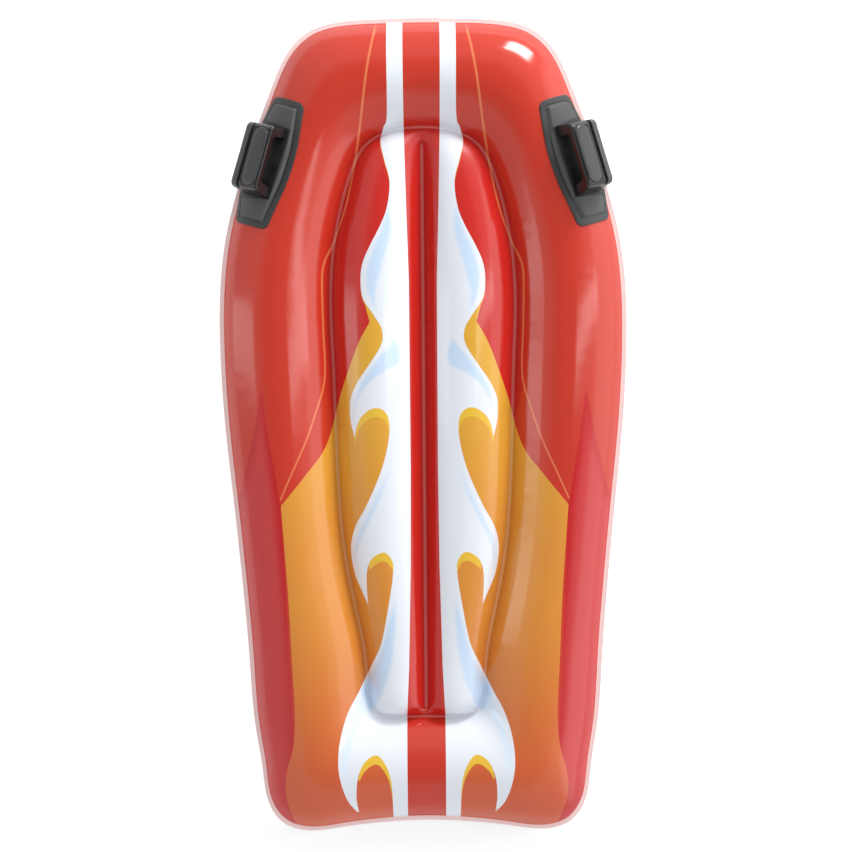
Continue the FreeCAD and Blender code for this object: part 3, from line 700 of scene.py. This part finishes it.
def grip_mesh(name, seat, settings, mirror):
    """The loop: a rounded bar section carried from foot to foot between an outer and an inner line.

    The section is a box with rounded corners whose outer face carries a groove, an outer rail beyond
    it, and an oval recess for the insert. Both lines have the same number of points, so a point of the
    section lies a share of the way from one line to the other.
    """
    count = settings.grip_columns
    outer = spread_along(rounded_profile(GRIP_OUTER, [7.5, 7.5], 14), count)
    inner = spread_along(rounded_profile(GRIP_INNER, [5, 5], 14), count)
    thick = np.linalg.norm(outer - inner, axis=1)
    half_width, corner = GRIP_HALF_WIDTH, GRIP_CORNER
    flat = half_width - corner
    face = np.linspace(-1, 1, settings.grip_rows)
    turn = np.linspace(0, np.pi / 2, 7)[1:-1]
    wall = np.linspace(0, 1, 7)[1:-1]
    none, rising, falling = 0 * face, corner * np.sin(turn), corner * np.cos(turn)
    # Round the section: outer face, corner, wall, corner, inner face, corner, wall, corner. A point is a
    # share of the way from the outer line to the inner one, and a depth in millimetres beyond that.
    side = np.concatenate([face * flat, flat + rising, wall * 0 + half_width, flat + falling,
                           -face * flat, -flat - rising, wall * 0 - half_width, -flat - falling])
    part = np.concatenate([none, 0 * turn, wall, 0 * turn + 1, none + 1, 0 * turn + 1, 1 - wall, 0 * turn])
    depth = np.concatenate([none, corner - falling, corner * (1 - 2 * wall), rising - corner,
                            none, falling - corner, corner * (2 * wall - 1), corner - rising])
    share = part[:, None] + depth[:, None] / thick
    on_top = smoothstep(*GRIP_ROUNDED, outer[:, 1])
    across = side[:, None]
    walls = smoothstep(*GRIP_GROOVE[:2], across) - smoothstep(*GRIP_GROOVE[2:], across)
    groove = GRIP_GROOVE_DEPTH * on_top * walls
    oval = np.hypot(across - OVAL_ACROSS, np.clip(np.abs(outer[:, 0]) - OVAL_HALF_LENGTH, 0, None))
    recess = RECESS_DEPTH * on_top * (1 - smoothstep(*RECESS_RIM, oval))
    front = (np.arange(len(side)) < len(face))[:, None]
    share = share + np.where(front, (groove + recess) / thick, 0)
    along, out = outer.T[:, None] + (inner - outer).T[:, None] * share
    points = seat.place(np.broadcast_to(across, along.shape), along, out) * (MIRROR if mirror else 1)
    rows = len(side)
    faces = [list(face) for face in grid_faces(rows, count, close_rows=True)]
    caps = [[row * count for row in range(rows)], [row * count + count - 1 for row in range(rows)]]
    return put_mesh(name, points, faces + caps, sharp_degrees=55, rail=np.repeat(side - RAIL_ACROSS, count))


def insert_mesh(name, seat, settings, mirror):
    """The oval pad: rings that shrink towards its long middle line, over a low crown."""
    ring = np.linspace(0, 2 * np.pi, settings.insert_columns, endpoint=False)
    shrink, height = np.transpose(INSERT_RINGS)[:, :, None]
    end = np.sign(np.sin(ring)) * OVAL_HALF_LENGTH * smoothstep(0, 0.25, np.abs(np.sin(ring)))
    across = OVAL_ACROSS + INSERT_RADIUS * np.cos(ring) * shrink
    along = end + INSERT_RADIUS * np.sin(ring) * shrink
    out = GRIP_TOP + height + 0 * along
    points = seat.place(across, along, out) * (MIRROR if mirror else 1)
    rows, columns = along.shape
    faces = [list(face) for face in grid_faces(rows, columns, close_columns=True)]
    caps = [list(range(columns)), [(rows - 1) * columns + step for step in range(columns)]]
    return put_mesh(name, points, faces + caps, sharp_degrees=50)


# ---- materials ----


class Graph:
    """Short names for adding and joining shader nodes."""

    def __init__(self, tree):
        self.tree = tree

    def add(self, kind, **settings):
        node = self.tree.nodes.new(kind)
        for key, value in settings.items():
            setattr(node, key, value)
        return node

    def join(self, source, target):
        self.tree.links.new(source, target)

    def feed(self, socket, value):
        """Links a socket, or sets it if the value is plain."""
        if isinstance(value, bpy.types.NodeSocket):
            self.join(value, socket)
        else:
            socket.default_value = value

    def math(self, operation, first, second=0.0, clamp=False):
        node = self.add("ShaderNodeMath", operation=operation, use_clamp=clamp)
        self.feed(node.inputs[0], first)
        self.feed(node.inputs[1], second)
        return node.outputs[0]

    def plus(self, first, second, clamp=False):
        return self.math("ADD", first, second, clamp)

    def times(self, first, second, clamp=False):
        return self.math("MULTIPLY", first, second, clamp)

    def mix(self, factor, first, second):
        """The first colour turning into the second as the factor rises."""
        node = self.add("ShaderNodeMix", data_type="RGBA")
        colour_inputs = [socket for socket in node.inputs if socket.type == "RGBA"]
        self.feed(node.inputs["Factor"], factor)
        self.feed(colour_inputs[0], first)
        self.feed(colour_inputs[1], second)
        return next(socket for socket in node.outputs if socket.type == "RGBA")

    def attribute(self, name):
        return self.add("ShaderNodeAttribute", attribute_name=name).outputs["Fac"]

    def ramp(self, value, low, high, start=0.0, end=1.0, smooth=False):
        node = self.add("ShaderNodeMapRange", interpolation_type="SMOOTHSTEP" if smooth else "LINEAR")
        for socket, given in zip(node.inputs, (value, low, high, start, end)):
            self.feed(socket, given)
        return node.outputs["Result"]

    def place(self):
        return self.add("ShaderNodeTexCoord").outputs["Object"]

    def along(self, axis, place=None):
        """One coordinate of the place, or of another vector."""
        node = self.add("ShaderNodeSeparateXYZ")
        self.join(place or self.place(), node.inputs[0])
        return node.outputs[axis]

    def noise(self, scale, detail, roughness=0.5):
        node = self.add("ShaderNodeTexNoise")
        self.join(self.place(), node.inputs["Vector"])
        node.inputs["Scale"].default_value = scale
        node.inputs["Detail"].default_value = detail
        node.inputs["Roughness"].default_value = roughness
        return node.outputs["Fac"]


def new_group(name, inputs, outputs):
    """An empty shader group with named number sockets."""
    tree = bpy.data.node_groups.new(name, "ShaderNodeTree")
    for socket, default in inputs.items():
        made = tree.interface.new_socket(socket, in_out="INPUT", socket_type="NodeSocketFloat")
        made.default_value = default
    for socket in outputs:
        tree.interface.new_socket(socket, in_out="OUTPUT", socket_type="NodeSocketFloat")
    graph = Graph(tree)
    return tree, graph, graph.add("NodeGroupInput").outputs, graph.add("NodeGroupOutput").inputs


def film_skin_group():
    """Calendered film: a faint orange peel, slow waves, and the fine ribs pressed into the welds.

    The ribs are the product of two sines that run along the two diagonals.
    """
    tree, graph, given, result = new_group(
        "film_skin", {"Weld": 0.0, "Gloss Roughness": 0.12}, ["Height", "Roughness"])
    ribs_per_metre, rib_height, peel_height, wave_height = 2600.0, 0.00006, 0.00002, 0.00028
    right, nose = graph.along("X"), graph.along("Y")
    diagonals = graph.plus(right, nose), graph.math("SUBTRACT", right, nose)
    ribs, cross = (graph.math("SINE", graph.times(line, ribs_per_metre)) for line in diagonals)
    knurl = graph.times(graph.times(graph.times(ribs, cross), rib_height), given["Weld"])
    peel = graph.times(graph.noise(260.0, 2.0), peel_height)
    waves = graph.times(graph.noise(26.0, 2.0, 0.4), wave_height)
    graph.join(graph.plus(graph.plus(peel, waves), knurl), result["Height"])
    patches = graph.ramp(graph.noise(9.0, 4.0, 0.6), 0.35, 0.75, -0.02, 0.05)
    rough = graph.plus(given["Gloss Roughness"], patches)
    dulled = graph.times(given["Weld"], 0.16)
    graph.join(graph.plus(rough, dulled, clamp=True), result["Roughness"])
    return tree


def moulded_grain_group():
    """Spark-eroded grain for moulded parts: fine cells over a softer mottling, and worn smooth patches."""
    tree, graph, given, result = new_group(
        "moulded_grain", {"Scale": 900.0, "Depth": 0.00004, "Base Roughness": 0.5}, ["Height", "Roughness"])
    cells = graph.add("ShaderNodeTexVoronoi", feature="SMOOTH_F1")
    graph.join(graph.place(), cells.inputs["Vector"])
    graph.join(given["Scale"], cells.inputs["Scale"])
    soft = graph.times(graph.noise(140.0, 4.0, 0.6), 0.8)
    height = graph.plus(cells.outputs["Distance"], soft)
    graph.join(graph.times(height, given["Depth"]), result["Height"])
    worn = graph.ramp(graph.noise(28.0, 5.0, 0.65), 0.3, 0.7, -0.07, 0.07)
    graph.join(graph.plus(given["Base Roughness"], worn, clamp=True), result["Roughness"])
    return tree


def handling_marks_group():
    """A faint film of dust and handling marks, more of it in patches."""
    tree, graph, given, result = new_group("handling_marks", {"Amount": 0.1}, ["Mask"])
    broad = graph.times(graph.ramp(graph.noise(14.0, 5.0, 0.6), 0.45, 0.75), 0.6)
    specks = graph.times(graph.ramp(graph.noise(700.0, 2.0), 0.62, 0.74), 0.5)
    graph.join(graph.times(graph.plus(broad, specks), given["Amount"], clamp=True), result["Mask"])
    return tree


GROUPS = {"film_skin": film_skin_group, "moulded_grain": moulded_grain_group,
          "handling_marks": handling_marks_group}


def new_material(name):
    material = bpy.data.materials.new(name)
    material.use_nodes = True
    graph = Graph(material.node_tree)
    shader = next(node for node in material.node_tree.nodes if node.type == "BSDF_PRINCIPLED")
    return material, graph, shader


def use_group(graph, name, **values):
    """A node of the named group, which is built the first time, with its inputs fed by name."""
    tree = bpy.data.node_groups.get(name) or GROUPS[name]()
    node = graph.add("ShaderNodeGroup", node_tree=tree)
    for key, value in values.items():
        graph.feed(node.inputs[key.replace("_", " ").title()], value)
    return node.outputs


def finish(graph, shader, ink, surface, **values):
    """Gives the shader its ink, and its roughness and relief from the named surface group."""
    graph.join(ink, shader.inputs["Base Color"])
    skin = use_group(graph, surface, **values)
    graph.join(skin["Roughness"], shader.inputs["Roughness"])
    relief = graph.add("ShaderNodeBump")
    relief.inputs["Strength"].default_value = 1.0
    relief.inputs["Distance"].default_value = 1.0
    graph.join(skin["Height"], relief.inputs["Height"])
    graph.join(relief.outputs["Normal"], shader.inputs["Normal"])


HAIR = 0.2
SOFT_TINT = (2.4, 1.6)


def edge_mask(graph, name, softness=0.16, at=0.0):
    """One where the named distance is over a level, with a hair's breadth of softness."""
    return graph.ramp(graph.attribute(name), at - softness, at + softness)


def deck_print_material(inks):
    """The printed upper film: red ground, flames, stripes and a golden field, under clear gloss."""
    material, graph, shader = new_material("printed_film")
    nose = graph.along("Y")
    weld, ring = graph.attribute("weld"), graph.attribute("ring")
    red = graph.mix(ring, inks.red, inks.ring_red)
    fading = graph.ramp(graph.attribute("crimson"), 1.0, PRINT_MARGIN)
    crimson = graph.mix(fading, inks.deep_crimson, inks.crimson)
    ground = graph.mix(edge_mask(graph, "crimson", 1.2), red, crimson)

    half_width = graph.ramp(nose, -0.09, 0.45, 1.0, 1.5)
    off_line = graph.math("ABSOLUTE", graph.attribute("pinstripe"))
    line = graph.ramp(graph.math("SUBTRACT", half_width, off_line), -HAIR, HAIR)
    line = graph.times(line, graph.ramp(nose, -0.095, -0.093))
    ground = graph.mix(line, ground, inks.pinstripe)

    golden = graph.mix(graph.ramp(nose, 0.10, -0.20, smooth=True), inks.golden, inks.orange)
    golden = graph.mix(graph.ramp(nose, -0.20, -0.49, smooth=True), golden, inks.ember)
    field = edge_mask(graph, "orange")
    ground = graph.mix(edge_mask(graph, "trim", 0.5), ground, inks.golden)
    ground = graph.mix(field, ground, golden)
    ground = graph.mix(graph.times(edge_mask(graph, "shade"), field), ground, inks.yellow)

    beside = edge_mask(graph, "stripe")
    ground = graph.mix(beside, red, ground)
    tints = graph.mix(edge_mask(graph, "blue", *SOFT_TINT), inks.white, inks.blue)
    tints = graph.mix(edge_mask(graph, "pale_blue", *SOFT_TINT), tints, inks.pale_blue)
    ink = graph.mix(graph.times(edge_mask(graph, "flames"), beside), ground, tints)
    ink = graph.mix(graph.ramp(weld, 0.3, 0.9, 0.0, 0.12), ink, inks.rim)
    ink = graph.mix(graph.ramp(weld, 1.4, 1.6), ink, inks.rim)

    puckered = graph.math("MAXIMUM", graph.math("SUBTRACT", graph.ramp(nose, 0.29, 0.35), ring), 0.0)
    gloss = graph.plus(graph.times(puckered, 0.3), 0.13)
    finish(graph, shader, ink, "film_skin", weld=graph.math("MINIMUM", weld, 1.0), gloss_roughness=gloss)
    shader.inputs["IOR"].default_value = 1.5
    return material


def hull_film_material(inks):
    """The plain lower film, a little mottled and dusty."""
    material, graph, shader = new_material("plain_film")
    mottled = graph.mix(graph.ramp(graph.noise(6.0, 4.0), 0.3, 0.7), inks.hull, inks.hull_shade)
    marks = use_group(graph, "handling_marks", amount=0.12)
    weld = graph.math("MINIMUM", graph.attribute("weld"), 1.0)
    finish(graph, shader, graph.mix(marks["Mask"], mottled, inks.dust), "film_skin",
           weld=weld, gloss_roughness=0.17)
    return material


def moulded_material(name, base, dusty, marked, second=None, mask=None, **grain):
    """Moulded plastic: its grain, a little dust that lightens it, and a second colour if it has one.

    The second colour fills the places where the named distance is over nought; on the handle plate that is
    the grip's black, painted as the shade under the grip.
    """
    material, graph, shader = new_material(name)
    marks = use_group(graph, "handling_marks", amount=marked)
    dyed = graph.mix(edge_mask(graph, mask, 0.3), base, second) if mask else base
    finish(graph, shader, graph.mix(marks["Mask"], dyed, dusty), "moulded_grain", **grain)
    return material


def valve_material(inks):
    """Soft cloudy vinyl: pale, with light passing a little way into it."""
    material, graph, shader = new_material("soft_valve_vinyl")
    cloudy = graph.mix(graph.ramp(graph.noise(90.0, 4.0), 0.3, 0.7), inks.valve, inks.hull)
    finish(graph, shader, cloudy, "moulded_grain", scale=1500.0, depth=0.00001, base_roughness=0.26)
    shader.inputs["Subsurface Weight"].default_value = 0.35
    shader.inputs["Subsurface Radius"].default_value = (0.003, 0.003, 0.003)
    shader.inputs["Subsurface Scale"].default_value = 1.0
    return material


def paint(piece, material):
    piece.data.materials.clear()
    piece.data.materials.append(material)


# ---- settings ----


def shade(name, description, red, green, blue):
    return FloatVectorProperty(
        name=name, description=description, subtype="COLOR", size=4, min=0, max=1,
        default=colour(red, green, blue))


def length(name, description, millimetres):
    return FloatProperty(
        name=name, description=description, default=millimetres * MM, min=0, unit="LENGTH", precision=5)


def count(name, description, default, least):
    return IntProperty(name=name, description=description, default=default, min=least)


class BodyboardSizes(bpy.types.PropertyGroup):
    """Sizes of the film and of its weld lines, and how finely each piece is meshed."""

    mid_height: length("Weld plane height", "Height of the weld plane above the ground", 40.3)
    tube_rise: length("Tube rise", "Height of the ring tube's skin above the weld plane", 40.0)
    film: length("Film", "Thickness of the film", 0.65)
    centre_weld: length("Centre weld", "Width of the weld along the centre line", 5.0)
    seam_weld: length("Seam weld", "Width of the weld round the middle chamber", 4.0)
    flange_width: length("Flange", "Width of the welded edge", 5.0)
    pucker: length("Pucker", "Height of the puckers beside the welds", 0.16)
    rise_ratio: FloatProperty(
        name="Rise ratio", description="Height of an arc of film over its chord", subtype="FACTOR",
        default=0.306, min=0.1, max=0.5)
    columns: count("Columns", "Ribs in each half of a sheet", 470, 100)
    lobe_rows: count("Lobe rows", "Rows over the middle chamber", 40, 10)
    tube_rows: count("Tube rows", "Rows over the ring tube", 50, 10)
    plate_rows: count("Plate rows", "Rows across a handle plate", 90, 20)
    plate_columns: count("Plate columns", "Columns along a handle plate", 190, 40)
    grip_rows: count("Grip rows", "Rows across a grip's face", 60, 20)
    grip_columns: count("Grip columns", "Columns along a grip", 180, 40)
    insert_columns: count("Insert columns", "Columns round an insert", 120, 24)


class BodyboardColours(bpy.types.PropertyGroup):
    """Inks and plastics."""

    red: shade("Red", "Ground ink over the middle chamber", 194, 38, 31)
    ring_red: shade("Ring red", "Ground ink over the ring tube", 192, 53, 36)
    crimson: shade("Crimson", "Darker ink of the lower sides", 191, 48, 48)
    deep_crimson: shade("Deep crimson", "Darkest ink, where the lower sides begin", 184, 26, 29)
    pinstripe: shade("Pinstripe", "Thin line round the golden field", 216, 114, 74)
    golden: shade("Golden", "Top of the golden field", 218, 164, 56)
    orange: shade("Orange", "Middle of the golden field", 212, 138, 56)
    ember: shade("Ember", "Tail end of the golden field", 200, 86, 52)
    yellow: shade("Yellow", "Bright edge under the flames", 226, 184, 62)
    white: shade("White", "Flames and stripes", 224, 229, 237)
    blue: shade("Blue", "Shading in the flames", 196, 217, 240)
    pale_blue: shade("Pale blue", "Lighter shading in the flames", 216, 229, 244)
    rim: shade("Rim", "Welded edge", 244, 212, 210)
    hull: shade("Hull", "Lower film", 226, 229, 230)
    hull_shade: shade("Hull shade", "Lower film where it is a little duller", 214, 218, 220)
    dust: shade("Dust", "Dust on pale film", 176, 172, 165)
    plate: shade("Plate", "Handle plate", 64, 66, 67)
    plate_dust: shade("Plate dust", "Dust on a handle plate", 104, 106, 105)
    grip: shade("Grip", "Handle loop", 14, 14, 15)
    rail: shade("Rail", "Outer rail of the handle loop", 68, 69, 71)
    grip_dust: shade("Grip dust", "Dust on a handle loop", 48, 48, 48)
    insert: shade("Insert", "Oval pad in the grip", 54, 55, 58)
    valve: shade("Valve", "Soft valve vinyl", 214, 224, 228)
    floor: shade("Floor", "The floor", 246, 246, 246)


# ---- operators ----


def sizes():
    """The settings as plain numbers, the lengths in millimetres."""
    group = bpy.context.scene.bodyboard_sizes
    found = SimpleNamespace()
    for name in BodyboardSizes.__annotations__:
        value = getattr(group, name)
        is_length = group.bl_rna.properties[name].unit == "LENGTH"
        setattr(found, name, value / MM if is_length else value)
    return found


def colours():
    return bpy.context.scene.bodyboard_colours


class BODYBOARD_OT_deck(bpy.types.Operator):
    """Builds the printed upper sheet"""

    bl_idname = "bodyboard.deck"
    bl_label = "Deck sheet"

    def execute(self, context):
        piece = film_sheet("deck_film", sizes(), under=False)
        print_fields(piece)
        paint(piece, deck_print_material(colours()))
        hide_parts("deck_sheet")
        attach(piece, "board")
        return {"FINISHED"}


class BODYBOARD_OT_hull(bpy.types.Operator):
    """Builds the plain lower sheet, with its valve holes"""

    bl_idname = "bodyboard.hull"
    bl_label = "Hull sheet"

    def execute(self, context):
        piece = film_sheet("hull_film", sizes(), under=True)
        cut_hole(piece, *valve_seat(sizes(), RING_VALVE_RIB, False, RING_VALVE_TILT, 1))
        cut_hole(piece, *valve_seat(sizes(), CENTRE_VALVE_RIB, True, 0.0, -1))
        paint(piece, hull_film_material(colours()))
        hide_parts("hull_sheet")
        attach(piece, "board")
        return {"FINISHED"}


class BODYBOARD_OT_handles(bpy.types.Operator):
    """Builds both handles: plate, grip and insert"""

    bl_idname = "bodyboard.handles"
    bl_label = "Handles"

    def execute(self, context):
        inks = colours()
        seat = HandleSeat(sizes())
        finishes = {
            # The plate's second colour is the grip's black, painted there as the shade under the grip.
            "handle_base": (plate_mesh, "handle_plate", moulded_material(
                "grained_plate", inks.plate, inks.plate_dust, marked=0.3, second=inks.grip, mask="beneath",
                scale=1100.0, depth=0.00005, base_roughness=0.5)),
            "handle_grip": (grip_mesh, "handle_grip", moulded_material(
                "gloss_grip", inks.grip, inks.grip_dust, marked=0.1, second=inks.rail, mask="rail",
                scale=2200.0, depth=0.000006, base_roughness=0.24)),
            "grip_insert": (insert_mesh, "grip_insert", moulded_material(
                "soft_insert", inks.insert, inks.plate_dust, marked=0.1,
                scale=1800.0, depth=0.00001, base_roughness=0.24)),
        }
        for node, (build, slot, material) in finishes.items():
            for side in ("right", "left"):
                piece = build("%s_skin_%s" % (node, side), seat, sizes(), side == "left")
                paint(piece, material)
                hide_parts("%s_%s" % (node, side))
                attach(piece, "board")
        return {"FINISHED"}


class BODYBOARD_OT_valves(bpy.types.Operator):
    """Finishes the valves' soft vinyl pieces"""

    bl_idname = "bodyboard.valves"
    bl_label = "Valves"

    def execute(self, context):
        vinyl = valve_material(colours())
        for name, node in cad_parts.items():
            if "valve" in name:
                paint(node, vinyl)
        return {"FINISHED"}


class BODYBOARD_OT_stage(bpy.types.Operator):
    """Sets the floor, the lights and the camera"""

    bl_idname = "bodyboard.stage"
    bl_label = "Stage"

    def execute(self, context):
        make_floor(colours())
        make_world()
        make_lamps()
        make_camera()
        context.scene.view_settings.view_transform = "Standard"
        return {"FINISHED"}


def make_floor(inks):
    """A pale floor that glows white to the camera and in gloss, which washes out the board's shadow at the
    sides; the glow is weaker from just beyond the tail onwards, where that shadow stays.
    """
    mesh = bpy.data.meshes.new("floor")
    reach = 6.0
    mesh.from_pydata([(-reach, -reach, 0), (reach, -reach, 0), (reach, reach, 0), (-reach, reach, 0)],
                     [], [(0, 1, 2, 3)])
    floor = bpy.data.objects.new("floor", mesh)
    bpy.context.scene.collection.objects.link(floor)
    material, graph, shader = new_material("floor_paint")
    shader.inputs["Base Color"].default_value = inks.floor
    shader.inputs["Roughness"].default_value = 0.9
    shader.inputs["Specular IOR Level"].default_value = 0.0
    rays = graph.add("ShaderNodeLightPath")
    seen = graph.math("MAXIMUM", rays.outputs["Is Camera Ray"], rays.outputs["Is Glossy Ray"])
    seen = graph.math("MAXIMUM", seen, rays.outputs["Is Transmission Ray"])
    shader.inputs["Emission Color"].default_value = (1.0, 1.0, 1.0, 1.0)
    # Painted light: the glow is uneven, weaker beyond the tail so that only the tail's shadow shows.
    glow = graph.ramp(graph.along("Y"), -0.53, -0.46, 0.22, 0.5, smooth=True)
    graph.join(graph.times(seen, glow), shader.inputs["Emission Strength"])
    paint(floor, material)


def make_world():
    """White walls: dimmer straight overhead, brighter along the right, a little duller on the left."""
    world = bpy.data.worlds.new("studio")
    bpy.context.scene.world = world
    world.use_nodes = True
    graph = Graph(world.node_tree)
    background = next(node for node in world.node_tree.nodes if node.type == "BACKGROUND")
    direction = graph.add("ShaderNodeTexCoord").outputs["Generated"]
    sideways = graph.along("X", direction)
    overhead = graph.ramp(graph.along("Z", direction), 0.74, 0.95, 1.0, 0.33, smooth=True)
    right = graph.ramp(sideways, 0.7, 0.84, 0.0, 1.2, smooth=True)
    left = graph.ramp(sideways, -0.35, -0.85, 0.0, -0.12, smooth=True)
    sides = graph.plus(graph.plus(right, left), 0.95)
    graph.join(graph.times(overhead, sides), background.inputs["Strength"])
    background.inputs["Color"].default_value = (1.0, 1.0, 1.0, 1.0)


def lamp(name, place, target, width, height, power):
    """A soft rectangular lamp, aimed at a point."""
    light = bpy.data.lights.new(name, "AREA")
    light.shape = "RECTANGLE"
    light.size, light.size_y, light.energy = width, height, power
    holder = bpy.data.objects.new(name, light)
    bpy.context.scene.collection.objects.link(holder)
    aim = Vector(target) - Vector(place)
    holder.matrix_world = Matrix.Translation(place) @ aim.to_track_quat("-Z", "Y").to_matrix().to_4x4()


def make_lamps():
    """A key from beyond the nose, and long soft boxes at the sides."""
    lamp("key", place=(1.25, 2.5, 0.9), target=(0, 0.3, 0), width=1.0, height=0.8, power=60)
    lamp("right_box", place=(1.75, 0.3, 2.4), target=(0, 0, 0), width=0.22, height=2.2, power=7)
    lamp("left_box", place=(-2.8, 0.2, 1.15), target=(0, 0, 0), width=0.4, height=2.4, power=7)


def make_camera():
    """Straight above the deck, nose up, with the slight roll of a hand-placed board."""
    distance, height_seen = 2.75, 1.065
    data = bpy.data.cameras.new("camera")
    data.sensor_width = 36.0
    data.lens = 36.0 * distance / height_seen
    camera = bpy.data.objects.new("camera", data)
    bpy.context.scene.collection.objects.link(camera)
    roll = Matrix.Rotation(math.radians(-0.46), 4, "Z")
    middle = Vector((0.0, -0.003, 0.0403 + distance))
    camera.matrix_world = Matrix.Translation(middle) @ roll
    bpy.context.scene.camera = camera


class BODYBOARD_PT_panel(bpy.types.Panel):
    """Lists the builders and what they take"""

    bl_label = "Inflatable bodyboard"
    bl_idname = "BODYBOARD_PT_panel"
    bl_space_type = "VIEW_3D"
    bl_region_type = "UI"
    bl_category = "Bodyboard"

    def draw(self, context):
        for operator in OPERATORS:
            self.layout.operator(operator.bl_idname)
        for group in (context.scene.bodyboard_sizes, context.scene.bodyboard_colours):
            box = self.layout.box()
            for name in group.bl_rna.properties.keys():
                if name not in ("rna_type", "name"):
                    box.prop(group, name)


OPERATORS = (
    BODYBOARD_OT_deck,
    BODYBOARD_OT_hull,
    BODYBOARD_OT_handles,
    BODYBOARD_OT_valves,
    BODYBOARD_OT_stage,
)
CLASSES = (BodyboardSizes, BodyboardColours, *OPERATORS, BODYBOARD_PT_panel)


def register():
    for item in CLASSES:
        bpy.utils.register_class(item)
    bpy.types.Scene.bodyboard_sizes = PointerProperty(type=BodyboardSizes)
    bpy.types.Scene.bodyboard_colours = PointerProperty(type=BodyboardColours)


def unregister():
    del bpy.types.Scene.bodyboard_colours
    del bpy.types.Scene.bodyboard_sizes
    for item in reversed(CLASSES):
        bpy.utils.unregister_class(item)


def main():
    register()
    for operator in OPERATORS:
        group, name = operator.bl_idname.split(".")
        getattr(getattr(bpy.ops, group), name)()


if __name__ == "__main__":
    main()
